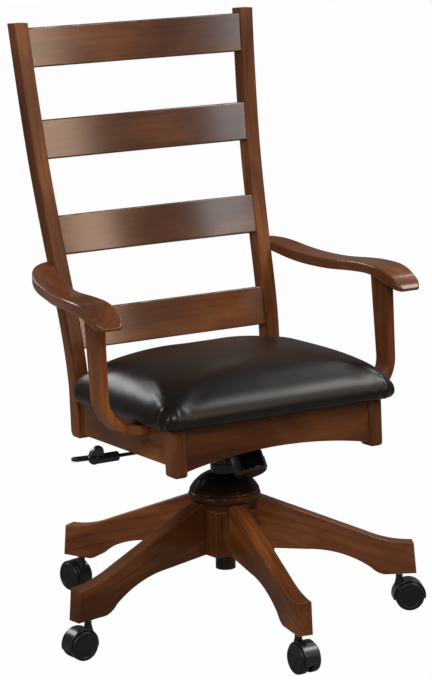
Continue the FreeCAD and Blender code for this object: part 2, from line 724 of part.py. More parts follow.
def make_piston_rod():
    """Rod from the clip under the floor up to the piston."""
    clip_top = TUBE_FLOOR_UNDERSIDE - FIT_CLEARANCE
    rod_bottom = clip_top - CLIP_HEIGHT - ROD_BELOW_CLIP
    shaft = rod(V(0, 0, rod_bottom), V(0, 0, PISTON_HEIGHT), PISTON_ROD_RADIUS)
    piston = Part.makeCylinder(PRESSURE_RADIUS - PRESSURE_WALL - RUN_CLEARANCE, PISTON_LENGTH, V(0, 0, PISTON_HEIGHT))
    clip = tube(CLIP_RADIUS, CLIP_RADIUS - PISTON_ROD_RADIUS, clip_top - CLIP_HEIGHT, clip_top)
    return [shaft.fuse(piston).removeSplitter(), clip]


def make_thrust_bearing():
    """Two washers with the ball ring between them."""
    washer = BEARING_HEIGHT / 4
    bottom = TUBE_FLOOR_TOP
    inner = PISTON_ROD_RADIUS + FIT_CLEARANCE
    wall = BEARING_RADIUS - inner
    lower = tube(BEARING_RADIUS, wall, bottom, bottom + washer)
    upper = tube(BEARING_RADIUS, wall, bottom + BEARING_HEIGHT - washer, bottom + BEARING_HEIGHT)
    ring_radius = BEARING_RADIUS - BALL_RING_INSET
    ring = tube(ring_radius, wall - 2 * BALL_RING_INSET, bottom + washer, bottom + BEARING_HEIGHT - washer)
    return [lower, ring, upper]


def make_pressure_tube():
    """Gas cylinder closed by a rod guide below and a bored cap above."""
    body = tube(PRESSURE_RADIUS, PRESSURE_WALL, PRESSURE_BOTTOM, PRESSURE_TOP)
    inner = PRESSURE_RADIUS - PRESSURE_WALL
    guide = tube(inner, inner - PISTON_ROD_RADIUS - RUN_CLEARANCE, PRESSURE_BOTTOM, PRESSURE_BOTTOM + PRESSURE_SEAL)
    cap = tube(inner, inner - BUTTON_RADIUS - RUN_CLEARANCE, PRESSURE_TOP - PRESSURE_CAP, PRESSURE_TOP)
    return body.fuse(guide).fuse(cap).removeSplitter()


def make_valve_button():
    top = PRESSURE_TOP + BUTTON_PROUD
    return rod(V(0, 0, top - BUTTON_LENGTH), V(0, 0, top), BUTTON_RADIUS)


def build_column():
    save("outer_tube", make_outer_tube())
    save("guide_bush", make_guide_bush())
    save("piston_rod", *make_piston_rod())
    save("thrust_bearing", *make_thrust_bearing())
    save("pressure_tube", make_pressure_tube())
    save("valve_button", make_valve_button())


# Tilt mechanism


def bolt_point(reach):
    """Point on the bolt's line at a distance above the knob's middle, level frame."""
    lean = math.radians(KNOB_LEAN)
    return KNOB_CENTRE.add(V(0, reach * math.sin(lean), reach * math.cos(lean)))


def on_bolt(shape):
    """Place a piece drawn upright about Z, with the knob's middle at the origin, on the bolt's line."""
    placed = shape.copy()
    placed.rotate(ORIGIN, V(1, 0, 0), -KNOB_LEAN)
    placed.translate(KNOB_CENTRE)
    return placed


def hinge_rod(start_x, end_x, radius):
    """Round bar along the tilt axis, level frame."""
    return rod(V(start_x, HINGE_Y, HINGE_Z), V(end_x, HINGE_Y, HINGE_Z), radius)


def make_hinge_axle():
    """Pin through the housing and the plate's flanges, with a head at each end."""
    end = HOUSING_HALF_WIDTH + FIT_CLEARANCE
    pin = hinge_rod(-end, end, HINGE_RADIUS)
    left = hinge_rod(-end - HINGE_HEAD, -end, HINGE_HEAD_RADIUS)
    right = hinge_rod(end, end + HINGE_HEAD, HINGE_HEAD_RADIUS)
    return pin.fuse(left).fuse(right).removeSplitter()


def plate_screw_places():
    """Underside of each screw hole in the plate."""
    return [V(x, y, PLATE_UNDERSIDE) for x in (-SCREW_X, SCREW_X) for y in RAIL_Y]


def make_tilt_plate():
    """Top plate whose two flanges hang inside the housing, level frame."""
    top = PLATE_UNDERSIDE + PLATE_SHEET
    front = min(RAIL_Y) - RAIL_DEPTH / 2 - PLATE_FRONT_LIP
    rear = max(RAIL_Y) + RAIL_DEPTH / 2 + PLATE_REAR_LIP
    plate = box(-PLATE_HALF_WIDTH, PLATE_HALF_WIDTH, front, rear, PLATE_UNDERSIDE, top)
    plate = eased(plate, PLATE_CORNER, is_upright)
    outer = HOUSING_HALF_WIDTH - HOUSING_SHEET - BRACKET_GAP
    inner = outer - PLATE_SHEET
    for low, high in ((-outer, -inner), (inner, outer)):
        plate = plate.fuse(box(low, high, FLANGE_FRONT, FLANGE_REAR, FLANGE_BOTTOM, PLATE_UNDERSIDE))
    for hole in plate_screw_places():
        plate = plate.cut(rod(hole, hole.add(V(0, 0, PLATE_SHEET)), SCREW_RADIUS + FIT_CLEARANCE))
    return plate.cut(hinge_rod(-outer, outer, HINGE_RADIUS)).removeSplitter()


def make_plate_screws():
    screws = []
    for place in plate_screw_places():
        head = rod(place.sub(V(0, 0, SCREW_HEAD)), place, SCREW_HEAD_RADIUS)
        shank = rod(place, place.add(V(0, 0, SCREW_LENGTH)), SCREW_RADIUS)
        screws.append(head.fuse(shank).removeSplitter())
    return screws


def seat_corners():
    """Corners of the slanted spring seat's side view, raked: lower rear and front, upper front and rear."""
    top = SPRING_SEAT_REACH + HOUSING_SHEET
    half = SPRING_SEAT_HALF
    corners = [(half, SPRING_SEAT_REACH), (-half, SPRING_SEAT_REACH), (-half, top), (half, top)]
    return [raked(on_bolt(Part.Vertex(0, y, z))).Point for y, z in corners]


def make_housing_side(x):
    """One side sheet of the housing, starting at x."""
    rear_low, front_low, front_high, rear_high = seat_corners()
    lip = HOUSING_SHEET
    outline = [
        V(x, HOUSING_REAR, HOUSING_FLOOR),
        V(x, HOUSING_FLOOR_FRONT, HOUSING_FLOOR),
        V(x, rear_low.y, rear_low.z),
        V(x, front_low.y, front_low.z),
        V(x, front_high.y, front_high.z + lip),
        V(x, rear_high.y, HOUSING_FRONT_TOP),
        V(x, 0, HOUSING_TOP),
        V(x, HOUSING_REAR, HOUSING_FLOOR + HOUSING_REAR_HEIGHT),
    ]
    return polygon(outline, V(HOUSING_SHEET, 0, 0))


def make_front_web():
    """Sloping sheet between the housing's floor and the spring seat."""
    rear_low, front_low, front_high, rear_high = seat_corners()
    half = HOUSING_HALF_WIDTH
    outline = [
        V(-half, HOUSING_FLOOR_FRONT, HOUSING_FLOOR),
        V(-half, rear_low.y, rear_low.z),
        V(-half, rear_high.y, rear_high.z),
        V(-half, HOUSING_FLOOR_FRONT + HOUSING_SHEET, HOUSING_FLOOR + HOUSING_SHEET),
    ]
    return polygon(outline, V(2 * half, 0, 0))


def make_spring_seat():
    """Slanted end plate that the tension spring bears on, with a slot for the bolt."""
    half = HOUSING_HALF_WIDTH
    top = SPRING_SEAT_REACH + HOUSING_SHEET
    seat = box(-half, half, -SPRING_SEAT_HALF, SPRING_SEAT_HALF, SPRING_SEAT_REACH, top)
    slot_half = BOLT_RADIUS + SOFT_CLEARANCE
    slot = box(-slot_half, slot_half, -SLOT_HALF_LENGTH, SLOT_HALF_LENGTH, SPRING_SEAT_REACH, top)
    return raked(on_bolt(seat.cut(slot)))


def lever_pin_point(side):
    """End of the lever's pin beyond the bracket, front or rear."""
    reach = LEVER_ROD_RADIUS + BRACKET_GAP + BRACKET_SHEET
    return V(LEVER_PIVOT_X, LEVER_Y + side * reach, LEVER_Z)


def make_tilt_housing():
    """Pressed box round the column socket, open at the top, with the lever's bracket and pin on its left."""
    half = HOUSING_HALF_WIDTH
    sheet = HOUSING_SHEET
    body = box(-half, half, HOUSING_FLOOR_FRONT, HOUSING_REAR, HOUSING_FLOOR, HOUSING_FLOOR + sheet)
    rear_top = HOUSING_FLOOR + HOUSING_REAR_HEIGHT
    rear = box(-half, half, HOUSING_REAR - sheet, HOUSING_REAR, HOUSING_FLOOR, rear_top)
    body = body.fuse(rear).fuse(make_front_web()).fuse(make_spring_seat())
    body = body.fuse(make_housing_side(-half)).fuse(make_housing_side(half - sheet))
    body = body.fuse(Part.makeCylinder(COLUMN_SOCKET_RADIUS, SOCKET_HEIGHT, V(0, 0, SOCKET_BOTTOM)))
    cheek = LEVER_ROD_RADIUS + BRACKET_GAP
    bracket_end = LEVER_PIVOT_X - BRACKET_NOSE
    bracket_bottom = LEVER_Z - BRACKET_HALF_HEIGHT
    bracket_top = LEVER_Z + BRACKET_HALF_HEIGHT
    for low in (LEVER_Y - cheek - BRACKET_SHEET, LEVER_Y + cheek):
        body = body.fuse(box(bracket_end, -half, low, low + BRACKET_SHEET, bracket_bottom, bracket_top))
    body = body.cut(Part.makeCylinder(PRESSURE_RADIUS, SOCKET_HEIGHT, V(0, 0, SOCKET_BOTTOM)))
    body = body.cut(raked(hinge_rod(-half, half, HINGE_RADIUS + RUN_CLEARANCE)))
    window_bottom = LEVER_Z - WINDOW_DROP
    body = body.cut(box(-half, -half + sheet, LEVER_Y - cheek, LEVER_Y + cheek, window_bottom, bracket_top))
    pin = rod(lever_pin_point(-1), lever_pin_point(1), LEVER_PIN_RADIUS)
    return [body.cut(pin).removeSplitter(), pin]


def make_tension_bolt():
    """Bolt with a square foot under the plate, level frame."""
    shank = on_bolt(rod(V(0, 0, -BOLT_TAIL), V(0, 0, BOLT_REACH), BOLT_RADIUS))
    middle = bolt_point(BOLT_REACH).y
    half_width = BOLT_FOOT_WIDTH / 2
    half_depth = BOLT_FOOT_DEPTH / 2
    foot_bottom = PLATE_UNDERSIDE - BOLT_FOOT_HEIGHT
    foot = box(-half_width, half_width, middle - half_depth, middle + half_depth, foot_bottom, PLATE_UNDERSIDE)
    return shank.fuse(foot).removeSplitter()


def make_knob():
    """Round knob with ribs on its lower half, a pocket for the spring and a blind bore for the bolt."""
    half = KNOB_HEIGHT / 2
    top = KNOB_TOP_EDGE
    foot = KNOB_FOOT_EDGE
    slant = 1 - math.sqrt(0.5)
    outline = [
        line(V(0, 0, half), V(KNOB_RADIUS - top, 0, half)),
        arc(
            V(KNOB_RADIUS - top, 0, half),
            V(KNOB_RADIUS - slant * top, 0, half - slant * top),
            V(KNOB_RADIUS, 0, half - top),
        ),
        line(V(KNOB_RADIUS, 0, half - top), V(KNOB_RADIUS, 0, foot - half)),
        arc(
            V(KNOB_RADIUS, 0, foot - half),
            V(KNOB_RADIUS - slant * foot, 0, slant * foot - half),
            V(KNOB_RADIUS - foot, 0, -half),
        ),
        line(V(KNOB_RADIUS - foot, 0, -half), V(0, 0, -half)),
        line(V(0, 0, -half), V(0, 0, half)),
    ]
    knob = turned(outline)
    reach = KNOB_RADIUS - KNOB_RIB_SINK
    for number in range(KNOB_RIB_COUNT):
        angle = 2 * math.pi * number / KNOB_RIB_COUNT
        rib_foot = V(reach * math.cos(angle), reach * math.sin(angle), foot - half)
        rib_head = rib_foot.add(V(0, 0, KNOB_RIB_LENGTH))
        rib = rod(rib_foot, rib_head, KNOB_RIB_RADIUS).fuse(Part.makeSphere(KNOB_RIB_RADIUS, rib_head))
        knob = knob.fuse(rib)
    pocket = rod(V(0, 0, half - KNOB_POCKET_DEPTH), V(0, 0, half), KNOB_POCKET_RADIUS)
    bore = rod(V(0, 0, -BOLT_TAIL - FIT_CLEARANCE), V(0, 0, half), BOLT_RADIUS + RUN_CLEARANCE)
    return on_bolt(knob.cut(pocket).cut(bore).removeSplitter())


def helix_point(angle, radius, pitch):
    return V(radius * math.cos(angle), radius * math.sin(angle), pitch * angle / (2 * math.pi))


def helix_tangent(angle, radius, pitch):
    slope = V(-radius * math.sin(angle), radius * math.cos(angle), pitch / (2 * math.pi))
    return slope.normalize()


def tangent_arc(start, tangent, end):
    """Arc from start, leaving along tangent, to end."""
    chord = end.sub(start)
    unit = V(chord).normalize()
    bulge = tangent.sub(unit * tangent.dot(unit)).normalize()
    swing = math.acos(max(-1.0, min(1.0, tangent.dot(unit))))
    middle = start.add(chord * 0.5).add(bulge * (chord.Length / 2 * math.tan(swing / 2)))
    return Part.Arc(start, middle, end).toShape()


def quarter_turn(angle, radius, pitch):
    """Two tangent arcs along a quarter turn of a helix."""
    a = helix_point(angle, radius, pitch)
    b = helix_point(angle + math.pi / 2, radius, pitch)
    ta = helix_tangent(angle, radius, pitch)
    tb = helix_tangent(angle + math.pi / 2, radius, pitch)
    v = b.sub(a)
    t = ta.add(tb)
    spread = 2 * (1 - ta.dot(tb))
    d = (-v.dot(t) + math.sqrt(v.dot(t) ** 2 + 2 * (1 - ta.dot(tb)) * v.dot(v))) / spread
    joint = a.add(b).add(ta.sub(tb) * d) * 0.5
    first = tangent_arc(a, ta, joint)
    second = tangent_arc(b, tb * -1, joint)
    return [first, second]


def least_gap_between_turns(radius, pitch, wire):
    """Least clear distance from the wire's middle line to its next turn, measured on points."""
    steps = 72
    start = helix_point(0, radius, pitch)
    angles = [math.pi + 2 * math.pi * step / steps for step in range(steps)]
    nearest = min(start.distanceToPoint(helix_point(angle, radius, pitch)) for angle in angles)
    return nearest - wire


def make_tension_spring():
    """Compression spring between the knob's pocket and the housing's spring seat, level frame."""
    bottom = KNOB_HEIGHT / 2 - KNOB_POCKET_DEPTH + SOFT_CLEARANCE
    top = SPRING_SEAT_REACH - SOFT_CLEARANCE
    pitch = (top - bottom - SPRING_WIRE) * 4 / SPRING_QUARTERS
    edges = []
    for quarter in range(SPRING_QUARTERS):
        edges += quarter_turn(quarter * math.pi / 2, SPRING_RADIUS, pitch)
    gap = least_gap_between_turns(SPRING_RADIUS, pitch, SPRING_WIRE)
    print("least gap of the spring to itself, mm:", round(gap, 2))
    path = Part.Wire(Part.__sortEdges__(edges))
    start = helix_point(0, SPRING_RADIUS, pitch)
    section = Part.Wire([Part.makeCircle(SPRING_WIRE / 2, start, helix_tangent(0, SPRING_RADIUS, pitch))])
    spring = path.makePipeShell([section], True, False)
    spring.translate(V(0, 0, bottom + SPRING_WIRE / 2))
    return on_bolt(spring)


def make_lever_rod():
    """Straight rod with a flat tongue over the valve button."""
    lever = rod(V(LEVER_TIP_X, LEVER_Y, LEVER_Z), V(LEVER_END_X, LEVER_Y, LEVER_Z), LEVER_ROD_RADIUS)
    under = LEVER_Z - LEVER_ROD_RADIUS
    tongue = box(-LEVER_TIP_X, LEVER_TIP_X, LEVER_Y, BUTTON_RADIUS, under, under + TONGUE_THICKNESS)
    lever = lever.fuse(tongue)
    pin_hole = rod(lever_pin_point(-1), lever_pin_point(1), LEVER_PIN_RADIUS + RUN_CLEARANCE)
    return lever.cut(pin_hole).removeSplitter()


def make_fin():
    """Upright oval lobe of the grip."""
    ellipse = Part.Ellipse(ORIGIN, FIN_HALF_HEIGHT, FIN_HALF_WIDTH)
    fin = Part.Face(Part.Wire([ellipse.toShape()])).extrude(V(0, 0, FIN_THICKNESS))
    fin = eased(fin, FIN_EDGE, lambda edge: edge.BoundBox.ZLength < 0.01)
    fin.rotate(ORIGIN, UP, 90 - FIN_LEAN)
    fin.rotate(ORIGIN, V(1, 0, 0), 90)
    fin.translate(FIN_CENTRE.add(V(0, FIN_THICKNESS / 2, 0)))
    return fin


def make_paddle():
    """Flat finger tab with a round tip."""
    run = PADDLE_RUN
    length = run.Length
    radius = PADDLE_WIDTH / 2
    end = length - radius
    at = lambda x, y: V(x, y, -PADDLE_THICKNESS / 2)
    outline = [
        line(at(0, -radius), at(end, -radius)),
        arc(at(end, -radius), at(length, 0), at(end, radius)),
        line(at(end, radius), at(0, radius)),
        line(at(0, radius), at(0, -radius)),
    ]
    tab = prism(outline, V(0, 0, PADDLE_THICKNESS))
    tab = eased(tab, PADDLE_EDGE, lambda edge: edge.BoundBox.ZLength < 0.01 and edge.BoundBox.XMax > 0.1)
    rise = math.degrees(math.atan2(run.z, math.hypot(run.x, run.y)))
    heading = math.degrees(math.atan2(run.y, run.x))
    tab.rotate(ORIGIN, V(0, 1, 0), -rise)
    tab.rotate(ORIGIN, UP, heading)
    tab.translate(PADDLE_START)
    return tab


def make_lever_handle():
    """Moulded grip on the rod's end: round sleeve, upright lobe and flat tab."""
    start = V(LEVER_END_X + GRIP_HOLD, LEVER_Y, LEVER_Z)
    end = V(FIN_CENTRE.x, LEVER_Y, LEVER_Z)
    sleeve = eased(rod(start, end, GRIP_RADIUS), GRIP_EDGE, lambda edge: edge.Closed)
    handle = sleeve.fuse(make_fin()).fuse(make_paddle())
    return handle.cut(rod(start, V(LEVER_END_X, LEVER_Y, LEVER_Z), LEVER_ROD_RADIUS)).removeSplitter()


def build_mechanism():
    save("tilt_housing", *make_tilt_housing())
    save("tilt_plate", raked(make_tilt_plate()))
    save("tilt_axle", raked(make_hinge_axle()))
    save("plate_screws", *[raked(screw) for screw in make_plate_screws()])
    save("tension_bolt", raked(make_tension_bolt()))
    save("tension_knob", raked(make_knob()))
    save("tension_spring", raked(make_tension_spring()))
    save("lever_rod", make_lever_rod())
    save("lever_handle", make_lever_handle())


# Seat frame


def make_front_post():
    """Right front post with rounded uprights and foot."""
    inner = POST_HALF_SPAN - FRONT_POST_WIDTH
    bottom = FRAME_TOP - FRONT_POST_HEIGHT
    post = box(inner, POST_HALF_SPAN, FRONT_POST_FACE, FRONT_POST_FACE + FRONT_POST_DEPTH, bottom, FRAME_TOP)
    front = FRONT_POST_FACE + 0.01
    post = eased(post, FRONT_POST_EASE, lambda edge: is_upright(edge) and edge.BoundBox.YMax < front)
    return eased(post, FRONT_POST_FOOT_EASE, lambda edge: edge.BoundBox.ZMax < bottom + 0.01)


def make_front_apron():
    """Board with an arched lower edge between the front posts."""
    half = POST_HALF_SPAN - FRONT_POST_WIDTH
    face = FRONT_POST_FACE + APRON_SETBACK
    end = FRAME_TOP - APRON_END_HEIGHT
    corner = lambda side, z: V(side * half, face, z)
    outline = [
        line(corner(-1, FRAME_TOP), corner(1, FRAME_TOP)),
        line(corner(1, FRAME_TOP), corner(1, end)),
        arc(corner(1, end), V(0, face, end + APRON_ARCH_RISE), corner(-1, end)),
        line(corner(-1, end), corner(-1, FRAME_TOP)),
    ]
    return prism(outline, V(0, FRAME_SHEET, 0))


def make_side_apron():
    rear = BACK_POST_FACE
    front = FRONT_POST_FACE + FRONT_POST_DEPTH
    inner = SIDE_APRON_FACE - FRAME_SHEET
    return box(inner, SIDE_APRON_FACE, front, rear, FRAME_TOP - SIDE_APRON_HEIGHT, FRAME_TOP)


def make_back_apron():
    half = BACK_POST_FOOT_X - BACK_POST_WIDTH
    front = BACK_POST_FACE + BACK_APRON_SETBACK
    return box(-half, half, front, front + FRAME_SHEET, FRAME_TOP - SIDE_APRON_HEIGHT, FRAME_TOP)


def make_mount_rails():
    half = SIDE_APRON_FACE - FRAME_SHEET
    bottom = PLATE_UNDERSIDE + PLATE_SHEET
    rails = []
    for y in RAIL_Y:
        rail = box(-half, half, y - RAIL_DEPTH / 2, y + RAIL_DEPTH / 2, bottom, bottom + RAIL_HEIGHT)
        for place in plate_screw_places():
            rail = rail.cut(rod(place, place.add(V(0, 0, SCREW_LENGTH)), SCREW_RADIUS))
        rails.append(rail)
    return rails


def make_corner_blocks():
    """Four triangular blocks glued into the frame's corners."""
    side = SIDE_APRON_FACE - FRAME_SHEET
    front = FRONT_POST_FACE + APRON_SETBACK + FRAME_SHEET
    rear = BACK_POST_FACE
    front_post_rear = FRONT_POST_FACE + FRONT_POST_DEPTH
    inner_front = POST_HALF_SPAN - FRONT_POST_WIDTH
    rise = V(0, 0, BLOCK_HEIGHT)
    z = FRAME_TOP - BLOCK_SET_DOWN - BLOCK_HEIGHT
    front_block = polygon(
        [
            V(inner_front - BLOCK_LEG, front, z),
            V(inner_front, front, z),
            V(inner_front, front_post_rear, z),
            V(side, front_post_rear, z),
            V(side, front + BLOCK_LEG, z),
        ],
        rise,
    )
    back_front = rear + BACK_APRON_SETBACK
    post_inner = BACK_POST_FOOT_X - BACK_POST_WIDTH
    back_block = polygon(
        [
            V(post_inner - BLOCK_LEG, back_front, z),
            V(side, rear - BLOCK_LEG, z),
            V(side, rear, z),
            V(post_inner, rear, z),
            V(post_inner, back_front, z),
        ],
        rise,
    )
    return [front_block, back_block, mirrored(front_block), mirrored(back_block)]


def post_edge_points():
    """Front edge of the back post from foot to head as (y, z)."""
    above_knee = [(BACK_POST_FACE + back, FRAME_TOP + rise) for back, rise in BACK_POST_EDGE]
    return [(BACK_POST_FACE, BACK_POST_BOTTOM), (BACK_POST_FACE, BACK_POST_KNEE)] + above_knee


def post_outer_x(z):
    """X of the back post's outer face."""
    if z <= BACK_POST_KNEE:
        return BACK_POST_FOOT_X
    share = (z - BACK_POST_KNEE) / (BACK_POST_TOP - BACK_POST_KNEE)
    return BACK_POST_FOOT_X + (BACK_POST_HEAD_X - BACK_POST_FOOT_X) * share


def make_post_blank():
    """Right back post before its mortises: side outline crossed with the splayed front outline."""
    points = [V(0, y, z) for y, z in post_edge_points()[1:]]
    front = Part.BSplineCurve()
    front.interpolate(points, InitialTangent=V(0, 0, 1), FinalTangent=points[-1].sub(points[-2]).normalize())
    front_edge = front.toShape()
    back_edge = front_edge.copy()
    back_edge.translate(V(0, BACK_POST_DEPTH, 0))
    foot_front = V(0, BACK_POST_FACE, BACK_POST_BOTTOM)
    foot_back = V(0, BACK_POST_FACE + BACK_POST_DEPTH, BACK_POST_BOTTOM)
    heel = BACK_POST_HEEL
    heel_low = foot_back.sub(V(0, heel, 0))
    heel_high = foot_back.add(V(0, 0, heel))
    heel_middle = foot_back.add(V(0, -heel, heel) * 0.3)
    depth = V(0, BACK_POST_DEPTH, 0)
    outline = [
        line(foot_front, points[0]),
        front_edge,
        line(points[-1], points[-1].add(depth)),
        back_edge,
        line(points[0].add(depth), heel_high),
        arc(heel_high, heel_middle, heel_low),
        line(heel_low, foot_front),
    ]
    side_view = prism(outline, V(CHAIR_SPAN, 0, 0))
    foot_x = BACK_POST_FOOT_X
    head_x = BACK_POST_HEAD_X
    width = BACK_POST_WIDTH
    front_view = polygon(
        [
            V(foot_x, 0, BACK_POST_BOTTOM - 1),
            V(foot_x, 0, BACK_POST_KNEE),
            V(head_x, 0, BACK_POST_TOP),
            V(head_x - width, 0, BACK_POST_TOP),
            V(foot_x - width, 0, BACK_POST_KNEE),
            V(foot_x - width, 0, BACK_POST_BOTTOM - 1),
        ],
        V(0, CHAIR_SPAN, 0),
    )
    return side_view.common(front_view).removeSplitter()


def slat_middle(number):
    """Height of a slat's middle and the lean of the post there."""
    low = FRAME_TOP + SLAT_RISES[number]
    high = low + SLAT_HEIGHT
    y_low = interpolated(post_edge_points(), low)
    y_high = interpolated(post_edge_points(), high)
    lean = math.degrees(math.atan2(y_high - y_low, high - low))
    return (low + high) / 2, (y_low + y_high) / 2, lean


def slat_inner_x(z):
    return post_outer_x(z) - BACK_POST_WIDTH


def on_slat(shape, number):
    """Lean a piece drawn upright at the origin into one slat's place."""
    z, y, lean = slat_middle(number)
    placed = shape.copy()
    placed.rotate(ORIGIN, V(1, 0, 0), -lean)
    placed.translate(V(0, y + SLAT_SETBACK, z))
    return placed


def make_slat_tenons(number, gain):
    """Both end tenons of a slat, grown by a gain for their mortises."""
    z = slat_middle(number)[0]
    inner = slat_inner_x(z)
    half = SLAT_HEIGHT / 2 - TENON_SHOULDER + gain
    y0 = (SLAT_THICKNESS - TENON_THICKNESS) / 2 - gain
    y1 = y0 + TENON_THICKNESS + 2 * gain
    reach = inner + TENON_LENGTH + gain
    right = box(inner - TENON_LENGTH, reach, y0, y1, -half, half)
    return [on_slat(right, number), on_slat(mirrored(right), number)]


def make_slat(number):
    """Slat between the posts: slightly bowed forward, with its ends cut to the posts' splay."""
    bow = SLAT_BOWS[number]
    half_height = SLAT_HEIGHT / 2
    z_middle = slat_middle(number)[0]
    end_x = slat_inner_x(z_middle)
    far = end_x + SLAT_SPARE
    at = lambda x, y: V(x, y, -half_height)
    outline = [
        arc(at(-far, 0), at(0, -bow), at(far, 0)),
        line(at(far, 0), at(far, SLAT_THICKNESS)),
        arc(at(far, SLAT_THICKNESS), at(0, SLAT_THICKNESS - bow), at(-far, SLAT_THICKNESS)),
        line(at(-far, SLAT_THICKNESS), at(-far, 0)),
    ]
    board = on_slat(prism(outline, V(0, 0, SLAT_HEIGHT)), number)
    low = z_middle - SLAT_HEIGHT
    high = z_middle + SLAT_HEIGHT
    between = polygon(
        [
            V(-slat_inner_x(low), 0, low),
            V(slat_inner_x(low), 0, low),
            V(slat_inner_x(high), 0, high),
            V(-slat_inner_x(high), 0, high),
        ],
        V(0, CHAIR_SPAN, 0),
    )
    board = board.common(between)

    def is_long(edge):
        return edge.BoundBox.XLength > end_x

    board = eased(board, SLAT_EASE, is_long)
    for tenon in make_slat_tenons(number, 0.0):
        board = board.fuse(tenon)
    return board.removeSplitter()


def make_back_posts():
    """Both posts, eased and mortised."""
    blank = make_post_blank()

    def is_long(edge):
        return edge.BoundBox.ZLength > BACK_POST_KNEE - BACK_POST_BOTTOM - 2 * BACK_POST_HEEL

    blank = eased(blank, BACK_POST_EASE, is_long)
    posts = [blank, mirrored(blank)]
    for number in range(len(SLAT_RISES)):
        tenons = make_slat_tenons(number, FIT_CLEARANCE)
        posts = [post.cut(tenon) for post, tenon in zip(posts, tenons)]
    return posts


def build_seat_frame():
    front_post = make_front_post()
    save("front_post_right", raked(front_post))
    save("front_post_left", raked(mirrored(front_post)))
    save("front_apron", raked(make_front_apron()))
    side_apron = make_side_apron()
    save("side_apron_right", raked(side_apron))
    save("side_apron_left", raked(mirrored(side_apron)))
    save("back_apron", raked(make_back_apron()))
    save("mount_rails", *[raked(rail) for rail in make_mount_rails()])
    save("corner_blocks", *[raked(block) for block in make_corner_blocks()])


def build_back():
    right, left = make_back_posts()
    save("back_post_right", raked(right))
    save("back_post_left", raked(left))
    for number in range(len(SLAT_RISES)):
        save("slat_%d" % (number + 1), raked(make_slat(number)))


# Arms


def make_arm_plan():
    """Plan of the right arm, swept through the whole height of the arm."""
    tip_corner = ARM_TIP_CORNER
    outer = [V(SIDE_APRON_FACE + out, y, 0) for out, y in ARM_OUTER + [ARM_OUTER_NOSE]]
    inner = [V(SIDE_APRON_FACE + out, y, 0) for out, y in ARM_INNER]
    post_x = post_outer_x(ARM_ROOT_Z)
    post_front = interpolated(post_edge_points(), ARM_ROOT_Z)
    root_outer = V(post_x, post_front + BACK_POST_DEPTH - ARM_ROOT_SHOULDER, 0)
    root_inner = V(post_x, post_front + ARM_ROOT_SHOULDER, 0)
    outer = [root_outer] + outer
    inner = [root_inner] + inner
    tip_outer = V(outer[-1].x - tip_corner, ARM_TIP, 0)
    tip_inner = V(inner[-1].x + tip_corner, ARM_TIP, 0)
    blend = 0.3
    blend_y = ARM_TIP + (outer[-1].y - ARM_TIP) * blend
    outline = [
        spline(outer),
        arc(outer[-1], V(outer[-1].x - tip_corner * blend, blend_y, 0), tip_outer),
        line(tip_outer, tip_inner),
        arc(tip_inner, V(inner[-1].x + tip_corner * blend, blend_y, 0), inner[-1]),
        spline(inner),
        line(root_inner, root_outer),
    ]
    return prism(outline, V(0, 0, 2 * CHAIR_SPAN))


def arm_underside():
    """Edges of the arm's underside in the YZ plane, from the post to the nose."""
    under = [(y, rise - ARM_THICKNESS) for y, rise in ARM_TOP + [ARM_TOP_END]]
    return [V(0, y, FRAME_TOP + rise) for y, rise in under + ARM_CHIN]


def make_arm_profile():
    """Side view of the arm, swept across the chair."""
    top = [V(0, y, FRAME_TOP + rise) for y, rise in ARM_TOP + [ARM_TOP_END] + ARM_NOSE]
    bottom = arm_underside()
    outline = [spline(top), line(top[-1], bottom[-1]), spline(bottom), line(bottom[0], top[0])]
    return prism(outline, V(CHAIR_SPAN, 0, 0))


def make_arm():
    arm = make_arm_plan().common(make_arm_profile()).removeSplitter()
    post_x = post_outer_x(ARM_ROOT_Z)

    def is_rim(edge):
        at_root = edge.BoundBox.XMax < post_x + 0.5
        upright = edge.BoundBox.ZLength > ARM_THICKNESS - 6 and edge.BoundBox.YLength < 8
        return not at_root and not upright

    arm = eased(arm, ARM_EASE, is_rim)
    return arm.cut(make_post_blank())


